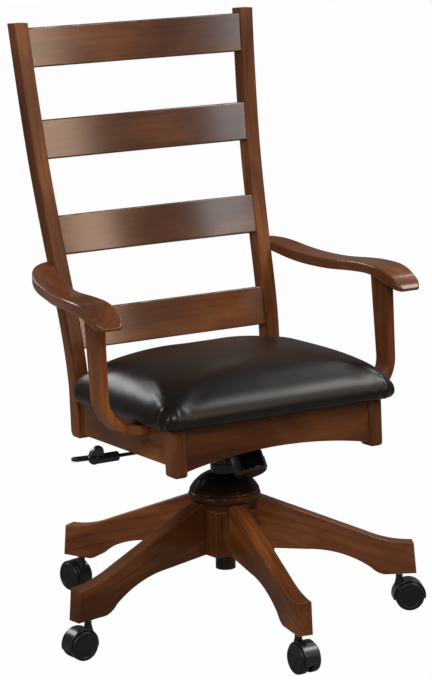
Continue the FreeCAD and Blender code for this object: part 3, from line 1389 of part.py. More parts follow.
def make_arm_support():
    """Right J-shaped board: foot on the side apron, bend, and upright to the arm."""
    outer_x = SIDE_APRON_FACE + SUPPORT_OUT
    inner_x = outer_x - SUPPORT_THICKNESS
    bottom = FRAME_TOP - SUPPORT_DROP
    top = bottom + SUPPORT_HEIGHT
    bend = SUPPORT_BEND
    inner_bend = bend - SUPPORT_THICKNESS
    centre_x = outer_x - bend
    centre_z = bottom + bend
    slant = math.sqrt(0.5)
    at = lambda x, z: V(x, SUPPORT_FRONT, z)
    foot_x = SIDE_APRON_FACE
    outline = [
        line(at(foot_x, bottom), at(centre_x, bottom)),
        arc(at(centre_x, bottom), at(centre_x + bend * slant, centre_z - bend * slant), at(outer_x, centre_z)),
        line(at(outer_x, centre_z), at(outer_x, top)),
        line(at(outer_x, top), at(inner_x, top)),
        line(at(inner_x, top), at(inner_x, centre_z)),
        arc(
            at(inner_x, centre_z),
            at(centre_x + inner_bend * slant, centre_z - inner_bend * slant),
            at(centre_x, bottom + SUPPORT_THICKNESS),
        ),
        line(at(centre_x, bottom + SUPPORT_THICKNESS), at(foot_x, bottom + SUPPORT_THICKNESS)),
        line(at(foot_x, bottom + SUPPORT_THICKNESS), at(foot_x, bottom)),
    ]
    board = prism(outline, V(0, 2 * SUPPORT_TOP_DEPTH, 0))
    taper = polygon(
        [
            V(0, SUPPORT_FRONT, bottom - 1),
            V(0, SUPPORT_FRONT + SUPPORT_FOOT_DEPTH, bottom - 1),
            V(0, SUPPORT_FRONT + SUPPORT_TOP_DEPTH, top),
            V(0, SUPPORT_FRONT, top),
        ],
        V(CHAIR_SPAN, 0, 0),
    )
    board = board.common(taper).removeSplitter()
    rear = SUPPORT_FRONT + 1.0

    def is_front_rim(edge):
        tall = edge.BoundBox.XLength > 1 and edge.BoundBox.ZLength > 1 or edge.Length > SUPPORT_BEND
        return tall and edge.BoundBox.YMax < rear

    board = eased(board, SUPPORT_EASE, is_front_rim)
    bottom_points = arm_underside()
    nose, root = bottom_points[-1], bottom_points[0]
    over_nose = V(0, nose.y, root.z + SUPPORT_HEIGHT)
    over_root = V(0, root.y, root.z + SUPPORT_HEIGHT)
    above = [spline(bottom_points), line(nose, over_nose), line(over_nose, over_root), line(over_root, root)]
    return board.cut(prism(above, V(CHAIR_SPAN, 0, 0)))


def build_arms():
    arm = make_arm()
    support = make_arm_support()
    save("arm_right", raked(arm))
    save("arm_left", raked(mirrored(arm)))
    save("arm_support_right", raked(support))
    save("arm_support_left", raked(mirrored(support)))


# Cushion


def rounded_outline(half_width, front, rear, corner, z):
    """Rounded rectangle of four lines and four quarter arcs."""
    corner = min(corner, half_width * 0.95, (rear - front) * 0.475)
    slant = corner * (1 - math.sqrt(0.5))
    x = half_width
    edges = []
    corners = [
        (V(x, front + corner, z), V(x - slant, front + slant, z), V(x - corner, front, z)),
        (V(-x + corner, front, z), V(-x + slant, front + slant, z), V(-x, front + corner, z)),
        (V(-x, rear - corner, z), V(-x + slant, rear - slant, z), V(-x + corner, rear, z)),
        (V(x - corner, rear, z), V(x - slant, rear - slant, z), V(x, rear - corner, z)),
    ]
    for index, (start, middle, end) in enumerate(corners):
        edges.append(arc(start, middle, end))
        edges.append(line(end, corners[(index + 1) % 4][0]))
    return Part.Wire(edges)


def cushion_levels(inset, bottom_gap):
    """Height above the frame and draw-in of each outline, from the underside to the crown."""
    levels = []
    for step in range(CUSHION_UNDER_STEPS):
        angle = math.radians(90 - 90 * step / CUSHION_UNDER_STEPS)
        drop = (CUSHION_WIDEST - bottom_gap) * math.sin(angle)
        levels.append((CUSHION_WIDEST - drop, CUSHION_UNDER_DRAW * (1 - math.cos(angle))))
    for step in range(CUSHION_CROWN_STEPS + 1):
        angle = math.radians(CUSHION_TOP_ANGLE * step / CUSHION_CROWN_STEPS)
        rise = (CUSHION_CROWN - CUSHION_WIDEST - inset) * math.sin(angle) ** CUSHION_FULLNESS
        draw_in = CUSHION_CROWN_REACH * (1 - math.cos(angle) ** CUSHION_FULLNESS)
        levels.append((CUSHION_WIDEST + rise, draw_in))
    return levels


def make_cushion_form(inset, bottom_gap):
    """Crowned form, smaller all round by inset, whose underside lies bottom_gap above the frame."""
    wires = []
    for rise, draw_in in cushion_levels(inset, bottom_gap):
        wires.append(
            rounded_outline(
                CUSHION_HALF_WIDTH - draw_in * CUSHION_SIDE_DRAW - inset,
                CUSHION_FRONT + draw_in + inset,
                CUSHION_REAR - draw_in * CUSHION_REAR_DRAW - inset,
                CUSHION_CORNER + CUSHION_CORNER_GROWTH * draw_in,
                FRAME_TOP + rise,
            )
        )
    return Part.makeLoft(wires, True, False)


def make_seat_parts():
    """Cover, foam and board, nested without overlap."""
    outer = make_cushion_form(0.0, 0.0)
    inner = make_cushion_form(COVER_THICKNESS, COVER_THICKNESS)
    turn_in = COVER_TURN_IN
    hole = box(
        -CUSHION_HALF_WIDTH + turn_in,
        CUSHION_HALF_WIDTH - turn_in,
        CUSHION_FRONT + turn_in,
        CUSHION_REAR - turn_in,
        FRAME_TOP - COVER_THICKNESS,
        FRAME_TOP + 2 * COVER_THICKNESS,
    )
    cover = outer.cut(inner).cut(hole)
    board_bottom = FRAME_TOP + COVER_THICKNESS
    board = box(
        -CUSHION_HALF_WIDTH + BOARD_MARGIN,
        CUSHION_HALF_WIDTH - BOARD_MARGIN,
        CUSHION_FRONT + BOARD_MARGIN,
        CUSHION_REAR - BOARD_REAR_MARGIN,
        board_bottom,
        board_bottom + BOARD_THICKNESS,
    )
    board = eased(board, BOARD_CORNER, is_upright)
    foam_form = make_cushion_form(COVER_THICKNESS + SOFT_CLEARANCE, COVER_THICKNESS)
    span = CHAIR_SPAN
    foam = foam_form.cut(box(-span, span, -span, span, 0, board_bottom + BOARD_THICKNESS))
    return cover, foam, board


def build_cushion():
    cover, foam, board = make_seat_parts()
    save("seat_cover", raked(cover))
    save("seat_foam", raked(foam))
    save("seat_board", raked(board))


build_base()
build_casters()
build_column()
build_mechanism()
build_seat_frame()
build_back()
build_arms()
build_cushion()
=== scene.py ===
"""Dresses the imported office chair: stained wood, black leather cushion, gloss black plastics and steel."""

import bpy
import bmesh
import math
from mathutils import Matrix, Vector


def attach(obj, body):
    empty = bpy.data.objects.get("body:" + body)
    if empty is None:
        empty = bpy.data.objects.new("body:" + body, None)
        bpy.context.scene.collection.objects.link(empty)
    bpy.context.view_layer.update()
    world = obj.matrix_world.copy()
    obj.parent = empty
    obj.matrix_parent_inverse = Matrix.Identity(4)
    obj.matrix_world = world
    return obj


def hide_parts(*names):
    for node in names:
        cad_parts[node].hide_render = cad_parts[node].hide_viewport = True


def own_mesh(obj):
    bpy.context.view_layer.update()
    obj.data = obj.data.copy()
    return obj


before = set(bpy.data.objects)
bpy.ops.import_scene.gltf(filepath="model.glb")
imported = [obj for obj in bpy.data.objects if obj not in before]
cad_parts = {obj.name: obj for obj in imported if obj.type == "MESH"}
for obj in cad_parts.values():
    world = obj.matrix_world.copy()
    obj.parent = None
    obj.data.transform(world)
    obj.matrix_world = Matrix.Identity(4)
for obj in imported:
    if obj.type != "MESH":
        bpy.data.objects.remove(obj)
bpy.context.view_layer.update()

# Seat rake, as in the CAD source: level pieces lean back about a line across the column
RAKE_ANGLE = math.radians(2.9)
RAKE_HEIGHT = 0.336

# Camera of the photograph
CAMERA_PLACE = (-2.21304, -3.94033, 1.5269)
CAMERA_RIGHT = (0.87085, -0.49122, -0.01833)
CAMERA_UP = (0.12227, 0.18035, 0.97597)
CAMERA_LENS = 90.67
SENSOR_HEIGHT = 24.0
CAMERA_FAR = 50

# Studio
WORLD_FILL = 0.13
WORLD_FILL_COLOUR = (1.0, 0.985, 0.96)
BACKDROP_IN_REFLECTIONS = 0.05
FLOOR_REACH = 12.0
FLOOR_GLOW = 0.985
FLOOR_TONE = 0.30
WHITE = (1, 1, 1)

# Softboxes: name, place, point aimed at, watts, width, height and colour
LAMPS = (
    ("overhead_box", (1.6, -1.0, 2.35), (0, 0, 0.6), 42, 1.0, 0.9, (1.0, 0.97, 0.93)),
    ("key_box", (-1.7, -2.5, 2.6), (0, 0, 0.55), 51, 1.0, 1.0, (1.0, 0.96, 0.90)),
    ("right_box", (1.70, -1.87, 1.55), (0, 0.1, 0.85), 5.0, 0.34, 1.0, (0.90, 0.97, 1.0)),
    ("front_box", (0.90, -2.46, 1.5), (0, 0.1, 0.75), 10.5, 0.34, 1.1, (1.0, 0.72, 0.52)),
    ("left_box", (-2.6, -0.7, 1.5), (0, 0, 0.5), 22, 1.0, 1.2, (1.0, 0.93, 0.85)),
    ("back_box", (-0.9, 2.6, 1.9), (0, 0, 0.5), 30, 1.1, 0.9, WHITE),
    ("rim_box", (1.75, 0.5, 2.15), (0, 0, 0.6), 12, 0.55, 0.5, WHITE),
)

# Directions
ACROSS = (1, 0, 0)
UPRIGHT = (0, 0, 1)


def raked(point):
    """World place of a point given in the level frame, in metres."""
    x, y, z = point
    rise = z - RAKE_HEIGHT
    cos, sin = math.cos(RAKE_ANGLE), math.sin(RAKE_ANGLE)
    return Vector((x, y * cos + rise * sin, -y * sin + rise * cos + RAKE_HEIGHT))


# Camera, floor and lamps


def add_camera():
    right, up = Vector(CAMERA_RIGHT), Vector(CAMERA_UP)
    back = right.cross(up)
    data = bpy.data.cameras.new("camera")
    data.sensor_fit = "VERTICAL"
    data.sensor_height = SENSOR_HEIGHT
    data.lens = CAMERA_LENS
    data.clip_end = CAMERA_FAR
    camera = bpy.data.objects.new("camera", data)
    turn = Matrix((right, up, back)).transposed().to_4x4()
    camera.matrix_world = Matrix.Translation(Vector(CAMERA_PLACE)) @ turn
    bpy.context.collection.objects.link(camera)
    bpy.context.scene.camera = camera


def background_share(tree, glossy_share):
    """1 for what the camera sees, straight on or through something, and a part of it for reflections."""
    path = tree.nodes.new("ShaderNodeLightPath")
    seen = tree.nodes.new("ShaderNodeMath")
    seen.operation = "MAXIMUM"
    tree.links.new(path.outputs["Is Camera Ray"], seen.inputs[0])
    tree.links.new(path.outputs["Is Transmission Ray"], seen.inputs[1])
    mirrored = tree.nodes.new("ShaderNodeMath")
    mirrored.operation = "MULTIPLY"
    mirrored.inputs[1].default_value = glossy_share
    tree.links.new(path.outputs["Is Glossy Ray"], mirrored.inputs[0])
    share = tree.nodes.new("ShaderNodeMath")
    share.operation = "MAXIMUM"
    tree.links.new(seen.outputs[0], share.inputs[0])
    tree.links.new(mirrored.outputs[0], share.inputs[1])
    return share.outputs[0]


def add_world():
    """Dim even fill light behind a white backdrop."""
    world = bpy.data.worlds.new("studio")
    world.use_nodes = True
    tree = world.node_tree
    tree.nodes.clear()
    out = tree.nodes.new("ShaderNodeOutputWorld")
    mix = tree.nodes.new("ShaderNodeMixShader")
    backdrop = tree.nodes.new("ShaderNodeBackground")
    fill = tree.nodes.new("ShaderNodeBackground")
    backdrop.inputs["Color"].default_value = (*WHITE, 1)
    backdrop.inputs["Strength"].default_value = 1.0
    fill.inputs["Color"].default_value = (*WORLD_FILL_COLOUR, 1)
    fill.inputs["Strength"].default_value = WORLD_FILL
    tree.links.new(background_share(tree, BACKDROP_IN_REFLECTIONS), mix.inputs[0])
    tree.links.new(fill.outputs[0], mix.inputs[1])
    tree.links.new(backdrop.outputs[0], mix.inputs[2])
    tree.links.new(mix.outputs[0], out.inputs["Surface"])
    bpy.context.scene.world = world


def add_lamp(name, place, aim, power, width, height, colour):
    data = bpy.data.lights.new(name, "AREA")
    data.shape = "RECTANGLE"
    data.size = width
    data.size_y = height
    data.energy = power
    data.color = colour
    lamp = bpy.data.objects.new(name, data)
    lamp.location = place
    lamp.rotation_euler = (Vector(aim) - Vector(place)).to_track_quat("-Z", "Y").to_euler()
    bpy.context.collection.objects.link(lamp)


def add_floor():
    """Pale floor that blends into the white backdrop and keeps a light shadow."""
    mesh = bpy.data.meshes.new("floor")
    reach = FLOOR_REACH
    corners = [(-reach, -reach, 0), (reach, -reach, 0), (reach, reach, 0), (-reach, reach, 0)]
    mesh.from_pydata(corners, [], [(0, 1, 2, 3)])
    floor = bpy.data.objects.new("floor", mesh)
    bpy.context.collection.objects.link(floor)
    material = bpy.data.materials.new("floor_white")
    material.use_nodes = True
    tree = material.node_tree
    tree.nodes.clear()
    out = tree.nodes.new("ShaderNodeOutputMaterial")
    mix = tree.nodes.new("ShaderNodeMixShader")
    share = tree.nodes.new("ShaderNodeMath")
    share.operation = "MULTIPLY"
    share.inputs[1].default_value = FLOOR_GLOW
    plain = tree.nodes.new("ShaderNodeBsdfDiffuse")
    glow = tree.nodes.new("ShaderNodeEmission")
    plain.inputs["Color"].default_value = (FLOOR_TONE, FLOOR_TONE, FLOOR_TONE, 1)
    glow.inputs["Color"].default_value = (*WHITE, 1)
    glow.inputs["Strength"].default_value = 1.0
    tree.links.new(background_share(tree, BACKDROP_IN_REFLECTIONS), share.inputs[0])
    tree.links.new(share.outputs[0], mix.inputs[0])
    tree.links.new(plain.outputs[0], mix.inputs[1])
    tree.links.new(glow.outputs[0], mix.inputs[2])
    tree.links.new(mix.outputs[0], out.inputs["Surface"])
    mesh.materials.append(material)


# Shader helpers

# A direction with more rise than this takes another helper axis
STEEP = 0.8

# Colour sockets of Blender's Mix node
MIX_FIRST_COLOUR = 6
MIX_SECOND_COLOUR = 7
MIX_RESULT_COLOUR = 2

# Worn edges, pale lines that are partly wear and partly painted edge highlight: width in metres, how far the
# faces turn, size and level of the patches, and strength
EDGE_SAMPLES = 6
EDGE_WIDTH = 0.0016
EDGE_TURN = (0.985, 0.90)
EDGE_PATCH_SCALE = (7.0, 25.0, 25.0)
EDGE_PATCHES = (0.46, 0.62)
EDGE_SHARE = 0.75


class Shader:
    """A material under construction, with short calls for its nodes."""

    def __init__(self, name, material=None):
        self.material = material or bpy.data.materials.new(name)
        self.material.use_nodes = True
        self.tree = self.material.node_tree
        self.main = self.tree.nodes["Principled BSDF"]

    def node(self, kind, **settings):
        made = self.tree.nodes.new(kind)
        for key, value in settings.items():
            setattr(made, key, value)
        return made

    def link(self, source, target):
        self.tree.links.new(source, target)

    def put(self, socket, value):
        """Set a socket from another node's output or from a plain value."""
        if hasattr(value, "is_output"):
            self.link(value, socket)
        else:
            socket.default_value = value

    def set(self, **values):
        """Plain values on the shader's own sockets."""
        names = {
            "roughness": "Roughness",
            "metallic": "Metallic",
            "specular": "Specular IOR Level",
            "coat": "Coat Weight",
            "coat_roughness": "Coat Roughness",
        }
        for key, value in values.items():
            self.main.inputs[names[key]].default_value = value

    def coordinates(self, along=ACROSS, shift=(0, 0, 0)):
        """Object coordinates turned so that X runs along a direction."""
        first = Vector(along).normalized()
        helper = Vector(UPRIGHT) if abs(first.z) < STEEP else Vector((0, 1, 0))
        second = helper.cross(first).normalized()
        third = first.cross(second)
        coords = self.node("ShaderNodeTexCoord")
        mapping = self.node("ShaderNodeMapping")
        mapping.inputs["Rotation"].default_value = Matrix((first, second, third)).to_euler()
        mapping.inputs["Location"].default_value = shift
        self.link(coords.outputs["Object"], mapping.inputs["Vector"])
        return mapping.outputs["Vector"]

    def upward(self, kind):
        """Z of the object's own coordinates, or of its surface's direction."""
        split = self.node("ShaderNodeSeparateXYZ")
        self.link(self.node("ShaderNodeTexCoord").outputs[kind], split.inputs[0])
        return split.outputs["Z"]

    def scaled(self, vector, scale):
        made = self.node("ShaderNodeVectorMath", operation="MULTIPLY")
        self.put(made.inputs[0], vector)
        made.inputs[1].default_value = scale
        return made.outputs[0]

    def noise(self, vector, scale=1.0, detail=4.0, roughness=0.55, distortion=0.0):
        made = self.node("ShaderNodeTexNoise")
        self.put(made.inputs["Vector"], vector)
        made.inputs["Scale"].default_value = scale
        made.inputs["Detail"].default_value = detail
        made.inputs["Roughness"].default_value = roughness
        made.inputs["Distortion"].default_value = distortion
        return made.outputs["Fac"]

    def math(self, operation, first, second=0.0, clamp=False):
        made = self.node("ShaderNodeMath", operation=operation, use_clamp=clamp)
        self.put(made.inputs[0], first)
        self.put(made.inputs[1], second)
        return made.outputs[0]

    def spread(self, value, low, high, to_low=0.0, to_high=1.0):
        made = self.node("ShaderNodeMapRange")
        self.put(made.inputs["Value"], value)
        for key, number in (("From Min", low), ("From Max", high), ("To Min", to_low), ("To Max", to_high)):
            made.inputs[key].default_value = number
        return made.outputs["Result"]

    def mix(self, share, first, second):
        made = self.node("ShaderNodeMix", data_type="RGBA")
        self.put(made.inputs[0], share)
        for socket, value in ((MIX_FIRST_COLOUR, first), (MIX_SECOND_COLOUR, second)):
            self.put(made.inputs[socket], value if hasattr(value, "is_output") else (*value, 1))
        return made.outputs[MIX_RESULT_COLOUR]

    def edge_wear_and_highlight(self, place):
        """Share of worn finish and painted edge highlight: thin, broken lines where two faces meet."""
        bevel = self.node("ShaderNodeBevel", samples=EDGE_SAMPLES)
        bevel.inputs["Radius"].default_value = EDGE_WIDTH
        facing = self.node("ShaderNodeNewGeometry")
        turned = self.node("ShaderNodeVectorMath", operation="DOT_PRODUCT")
        self.link(bevel.outputs["Normal"], turned.inputs[0])
        self.link(facing.outputs["Normal"], turned.inputs[1])
        edge = self.spread(turned.outputs["Value"], *EDGE_TURN)
        broken = self.noise(self.scaled(place, EDGE_PATCH_SCALE), detail=3.0)
        patches = self.spread(broken, *EDGE_PATCHES)
        return self.math("MULTIPLY", self.math("MULTIPLY", edge, patches), EDGE_SHARE, clamp=True)

    def bump(self, height, distance, strength):
        made = self.node("ShaderNodeBump")
        made.inputs["Distance"].default_value = distance
        made.inputs["Strength"].default_value = strength
        self.put(made.inputs["Height"], height)
        self.link(made.outputs["Normal"], self.main.inputs["Normal"])


# Materials

WOOD_DARK = (0.036, 0.0098, 0.0030)
WOOD_MID = (0.090, 0.0285, 0.0090)
WOOD_LIGHT = (0.172, 0.064, 0.0215)
WOOD_PORE = (0.014, 0.005, 0.003)
# Pale edge colour, partly wear and partly painted edge highlight
WORN_EDGE_AND_HIGHLIGHT = (0.42, 0.27, 0.17)

# How much a warm piece's light tone gains in red and green and loses in blue
WARM_SHIFT = (0.35, 0.12, -0.3)

# How far the figure moves on from one piece to the next
FIGURE_STEP = (0.37, 0.11, 0.07)

# How fine each part of the figure is, along the grain and in the two directions across it
CLOUD_SCALE = (5.0, 16.0, 16.0)
SHADE_SCALE = (2.2, 6.0, 6.0)
RING_SCALE = (0.16, 1.0, 1.0)
STREAK_SCALE = (9.0, 210.0, 210.0)
PORE_SCALE = (38.0, 1000.0, 1000.0)

# How strongly each part of the figure counts
CLOUD_SHARE = 0.75
SHADE_SHARE = 0.55
LINE_SHARE = 0.14
STREAK_SHARE = 0.34
PORE_SHARE = 0.3

# Level of the figure where the middle tone lies, and how it rises with a strong figure
FIGURE_MIDDLE = 0.65
FIGURE_RISE = 0.15

# Where the dark tone ends and the light tone begins, about that level
DARK_REACH = (-0.26, 0.06)
LIGHT_REACH = (0.03, 0.32)

# Growth rings, of which the power leaves only thin lines
RING_SETTINGS = {
    "Scale": 30.0,
    "Distortion": 9.0,
    "Detail": 2.0,
    "Detail Scale": 0.45,
    "Detail Roughness": 0.5,
}
RING_POWER = 5.0

# Height of a streak beside the depth of a pore
STREAK_HEIGHT = 0.35


def tree_rings(s, place):
    """Thin dark lines of the growth rings, cut along the board."""
    rings = s.node("ShaderNodeTexWave", wave_type="RINGS", rings_direction="X", wave_profile="SIN")
    s.put(rings.inputs["Vector"], s.scaled(place, RING_SCALE))
    for key, value in RING_SETTINGS.items():
        rings.inputs[key].default_value = value
    return s.math("POWER", rings.outputs["Fac"], RING_POWER)


def wood(name, along, seed, tone, warmth, gloss, figure):
    """Stained open-grained wood under satin lacquer, with its figure running along a direction."""
    s = Shader(name)
    place = s.coordinates(along, [step * seed for step in FIGURE_STEP])
    cloud = s.noise(s.scaled(place, CLOUD_SCALE), detail=3.0, roughness=0.5, distortion=0.6)
    shade = s.noise(s.scaled(place, SHADE_SCALE), detail=2.0)
    lines = tree_rings(s, place)
    streaks = s.noise(s.scaled(place, STREAK_SCALE), detail=5.0, roughness=0.7)
    pores = s.noise(s.scaled(place, PORE_SCALE), detail=2.0, roughness=0.5)
    blend = s.math("ADD", s.math("MULTIPLY", cloud, CLOUD_SHARE), s.math("MULTIPLY", shade, SHADE_SHARE))
    blend = s.math("ADD", blend, s.math("MULTIPLY", streaks, STREAK_SHARE * figure))
    blend = s.math("SUBTRACT", blend, s.math("MULTIPLY", lines, LINE_SHARE * figure))
    level = FIGURE_MIDDLE + FIGURE_RISE * figure
    low = s.spread(blend, *(level + part for part in DARK_REACH))
    high = s.spread(blend, *(level + part for part in LIGHT_REACH))
    dark = [tone * part for part in WOOD_DARK]
    middle = [tone * part for part in WOOD_MID]
    light = [tone * part * (1 + shift * warmth) for part, shift in zip(WOOD_LIGHT, WARM_SHIFT)]
    colour = s.mix(high, s.mix(low, dark, middle), light)
    pore_mask = s.spread(pores, low=0.60, high=0.72)
    colour = s.mix(s.math("MULTIPLY", pore_mask, PORE_SHARE), colour, WOOD_PORE)
    # Pale edges: partly wear, partly painted edge highlight
    colour = s.mix(s.edge_wear_and_highlight(place), colour, WORN_EDGE_AND_HIGHLIGHT)
    s.link(colour, s.main.inputs["Base Color"])
    uneven = s.spread(streaks, low=0.3, high=0.7, to_low=0.42, to_high=0.52)
    s.link(uneven, s.main.inputs["Roughness"])
    s.set(specular=0.04, coat=gloss, coat_roughness=0.14)
    height = s.math("SUBTRACT", s.math("MULTIPLY", streaks, STREAK_HEIGHT), pore_mask)
    s.bump(height, distance=0.00012, strength=0.3)
    return s.material


BLACK_PLASTIC = (0.0062, 0.0062, 0.0066)

# How dust lightens the plastic, and how smooth and rough it gets, as shares of its roughness
DUST_GAIN = 1.7
DUST_ADDED = 0.002
CLEAN_SHARE = 0.85
DUSTY_SHARE = 1.35


def plastic(name, roughness, shine):
    """Moulded black plastic with a faint orange-peel surface and a little dust."""
    s = Shader(name)
    place = s.coordinates()
    peel = s.noise(place, scale=420.0, detail=3.0)
    dust = s.noise(place, scale=26.0, detail=4.0)
    dusty = [DUST_GAIN * part + DUST_ADDED for part in BLACK_PLASTIC]
    colour = s.mix(s.spread(dust, low=0.45, high=0.8), BLACK_PLASTIC, dusty)
    s.link(colour, s.main.inputs["Base Color"])
    smoothest = roughness * CLEAN_SHARE
    roughest = roughness * DUSTY_SHARE
    uneven = s.spread(dust, low=0.3, high=0.75, to_low=smoothest, to_high=roughest)
    s.link(uneven, s.main.inputs["Roughness"])
    s.set(specular=shine)
    s.bump(peel, distance=0.00004, strength=0.5)
    return s.material


POWDER_TONES = ((0.0045, 0.0045, 0.0045), (0.0095, 0.0090, 0.0086))


def black_steel(name):
    """Powder-coated steel."""
    s = Shader(name)
    place = s.coordinates()
    fine = s.noise(place, scale=900.0, detail=2.0)
    colour = s.mix(s.noise(place, scale=30.0), *POWDER_TONES)
    s.link(colour, s.main.inputs["Base Color"])
    s.set(roughness=0.2, specular=0.32)
    s.bump(fine, distance=0.00008, strength=0.4)
    return s.material


STEEL_TONES = ((0.42, 0.42, 0.43), (0.62, 0.61, 0.60))
DRAWN_SCALE = (20.0, 1400.0, 1400.0)


def bright_steel(name, along):
    """Drawn steel with fine lines along its length."""
    s = Shader(name)
    place = s.coordinates(along)
    lines = s.noise(s.scaled(place, DRAWN_SCALE), detail=3.0)
    s.link(s.mix(lines, *STEEL_TONES), s.main.inputs["Base Color"])
    uneven = s.spread(lines, low=0.3, high=0.7, to_low=0.24, to_high=0.38)
    s.link(uneven, s.main.inputs["Roughness"])
    s.set(metallic=1.0)
    s.bump(lines, distance=0.00002, strength=0.3)
    return s.material


PLYWOOD_TONES = ((0.40, 0.27, 0.15), (0.56, 0.41, 0.25))
PLY_LINE = (0.26, 0.16, 0.09)
PLY_LINE_SHARE = 0.25
PLIES_SCALE = 120.0
PLYWOOD_STREAK_SCALE = (6.0, 120.0, 120.0)


def plywood(name):
    """Bare plywood, with its plies showing on the edges."""
    s = Shader(name)
    place = s.coordinates(ACROSS)
    plies = s.node("ShaderNodeTexWave", wave_type="BANDS", bands_direction="Z")
    s.put(plies.inputs["Vector"], place)
    plies.inputs["Scale"].default_value = PLIES_SCALE
    streaks = s.noise(s.scaled(place, PLYWOOD_STREAK_SCALE), detail=4.0)
    colour = s.mix(streaks, *PLYWOOD_TONES)
    colour = s.mix(s.math("MULTIPLY", plies.outputs["Fac"], PLY_LINE_SHARE), colour, PLY_LINE)
    s.link(colour, s.main.inputs["Base Color"])
    s.set(roughness=0.7)
    s.bump(streaks, distance=0.0002, strength=0.4)
    return s.material


# The cushion's flat top gets a painted brown reflection of the wooden back
WOOD_REFLECTION_FACING = (0.93, 0.995)
LEATHER_PLAIN = ((0.0046, 0.0034, 0.0028), (0.0080, 0.0056, 0.0042))
# Brown tones of the painted reflection of the wood in the leather's flat top
LEATHER_PAINTED_REFLECTION = ((0.0120, 0.0052, 0.0024), (0.0200, 0.0090, 0.0040))

# Pebbles of the leather, and how high they and the fine grain between them stand
PEBBLE_SCALE = 620.0
PEBBLE_SMOOTHNESS = 0.6
PEBBLE_HEIGHT = 0.7
FINE_HEIGHT = 0.3


def leather(name):
    """Smooth black leather with a fine pebble and soft shine, with a painted brown reflection of the wooden
    back on its flat top.
    """
    s = Shader(name)
    place = s.coordinates()
    pebble = s.node("ShaderNodeTexVoronoi", feature="SMOOTH_F1")
    s.put(pebble.inputs["Vector"], place)
    pebble.inputs["Scale"].default_value = PEBBLE_SCALE
    pebble.inputs["Smoothness"].default_value = PEBBLE_SMOOTHNESS
    fine = s.noise(place, scale=1500.0, detail=2.0)
    broad = s.noise(place, scale=9.0, detail=3.0)
    # Painted reflection of the wood, laid on where the surface faces up
    painted_reflection_share = s.spread(s.upward("Normal"), *WOOD_REFLECTION_FACING)
    patchy = s.spread(broad, low=0.35, high=0.7)
    tint = s.mix(painted_reflection_share, s.mix(patchy, *LEATHER_PLAIN), s.mix(patchy, *LEATHER_PAINTED_REFLECTION))
    s.link(tint, s.main.inputs["Base Color"])
    uneven = s.spread(broad, low=0.3, high=0.7, to_low=0.29, to_high=0.37)
    s.link(uneven, s.main.inputs["Roughness"])
    s.set(specular=0.25)
    pebbled = s.math("MULTIPLY", pebble.outputs["Distance"], PEBBLE_HEIGHT)
    height = s.math("ADD", pebbled, s.math("MULTIPLY", fine, FINE_HEIGHT))
    s.bump(height, distance=0.00012, strength=0.3)
    return s.material


# Which way the grain runs in each wooden piece

FIRST_LEG_ANGLE = -24.8
LEG_COUNT = 5
LEG_FALL = -0.32
SLAT_COUNT = 4


def leg_direction(number):
    angle = math.radians(FIRST_LEG_ANGLE - 360 / LEG_COUNT * (number - 1))
    return (math.cos(angle), math.sin(angle), LEG_FALL)


def grain_directions():
    lean = math.tan(RAKE_ANGLE)
    directions = {
        "hub": UPRIGHT,
        "hub_cap": (0.2, 1, 0.05),
        "leg_dowels": ACROSS,
        "front_apron": ACROSS,
        "back_apron": ACROSS,
        "side_apron_left": (0, 1, -lean),
        "side_apron_right": (0, 1, -lean),
        "mount_rails": ACROSS,
        "corner_blocks": ACROSS,
        "front_post_left": (0, lean, 1),
        "front_post_right": (0, lean, 1),
        "back_post_left": (-0.05, 0.19, 1),
        "back_post_right": (0.05, 0.19, 1),
        "arm_left": (0.12, 1, -0.02),
        "arm_right": (-0.12, 1, -0.02),
        "arm_support_left": (0, lean, 1),
        "arm_support_right": (0, lean, 1),
    }
    for number in range(1, LEG_COUNT + 1):
        directions["leg_%d" % number] = leg_direction(number)
    for number in range(1, SLAT_COUNT + 1):
        directions["slat_%d" % number] = ACROSS
    return directions


# How light, warm, glossy and strongly figured a piece is, where it stands out from the rest; the lightness
# is partly the wood's own tone and partly painted light, raised on pieces that fall in shade
PIECE_LOOKS = {
    "leg_1": (1.75, 0.3, 0.4, 0.5),
    "leg_2": (1.4, 0.9, 0.3, 0.55),
    "leg_3": (0.9, 0.6, 0.3, 0.5),
    "leg_4": (2.7, 0.7, 0.3, 0.55),
    "leg_5": (1.15, 0.3, 0.3, 0.5),
    "slat_1": (0.95, 0.2, 0.95, 0.3),
    "slat_2": (0.85, 0.2, 0.95, 0.4),
    "slat_3": (0.85, 0.2, 0.9, 0.3),
    "slat_4": (1.1, 0.3, 0.9, 0.3),
    "front_apron": (0.95, 0.2, 0.25, 0.2),
    "side_apron_left": (1.6, 0.7, 0.3, 0.3),
    "front_post_left": (1.25, 0.4, 0.3, 0.4),
    "front_post_right": (0.9, 0.3, 0.3, 0.4),
    "back_post_left": (1.3, 0.5, 0.2, 0.6),
    "back_post_right": (1.3, 0.5, 0.12, 0.6),
    "arm_left": (1.8, 0.25, 0.6, 0.4),
    "arm_right": (1.7, 0.25, 0.6, 0.4),
    "arm_support_left": (1.7, 0.6, 0.25, 0.5),
    "arm_support_right": (1.8, 0.4, 0.25, 0.5),
    "hub_cap": (0.9, 0.0, 0.2, 0.4),
    "hub": (1.2, 0.0, 0.3, 0.6),
}
PLAIN_LOOK = (1.0, 0.15, 0.4, 0.5)

# The cap's bell is painted dark above its bead, as painted shade under the seat
CAP_BEAD_HEIGHT = 0.2445
BELL_SHADE_FADE = 0.004
BELL_PAINTED_SHADE = (0.0130, 0.0064, 0.0042)

# A slat's top edge has little lacquer left
SLAT_TOP_FACING = (0.5, 0.8)
SLAT_TOP_GLOSS = 0.06

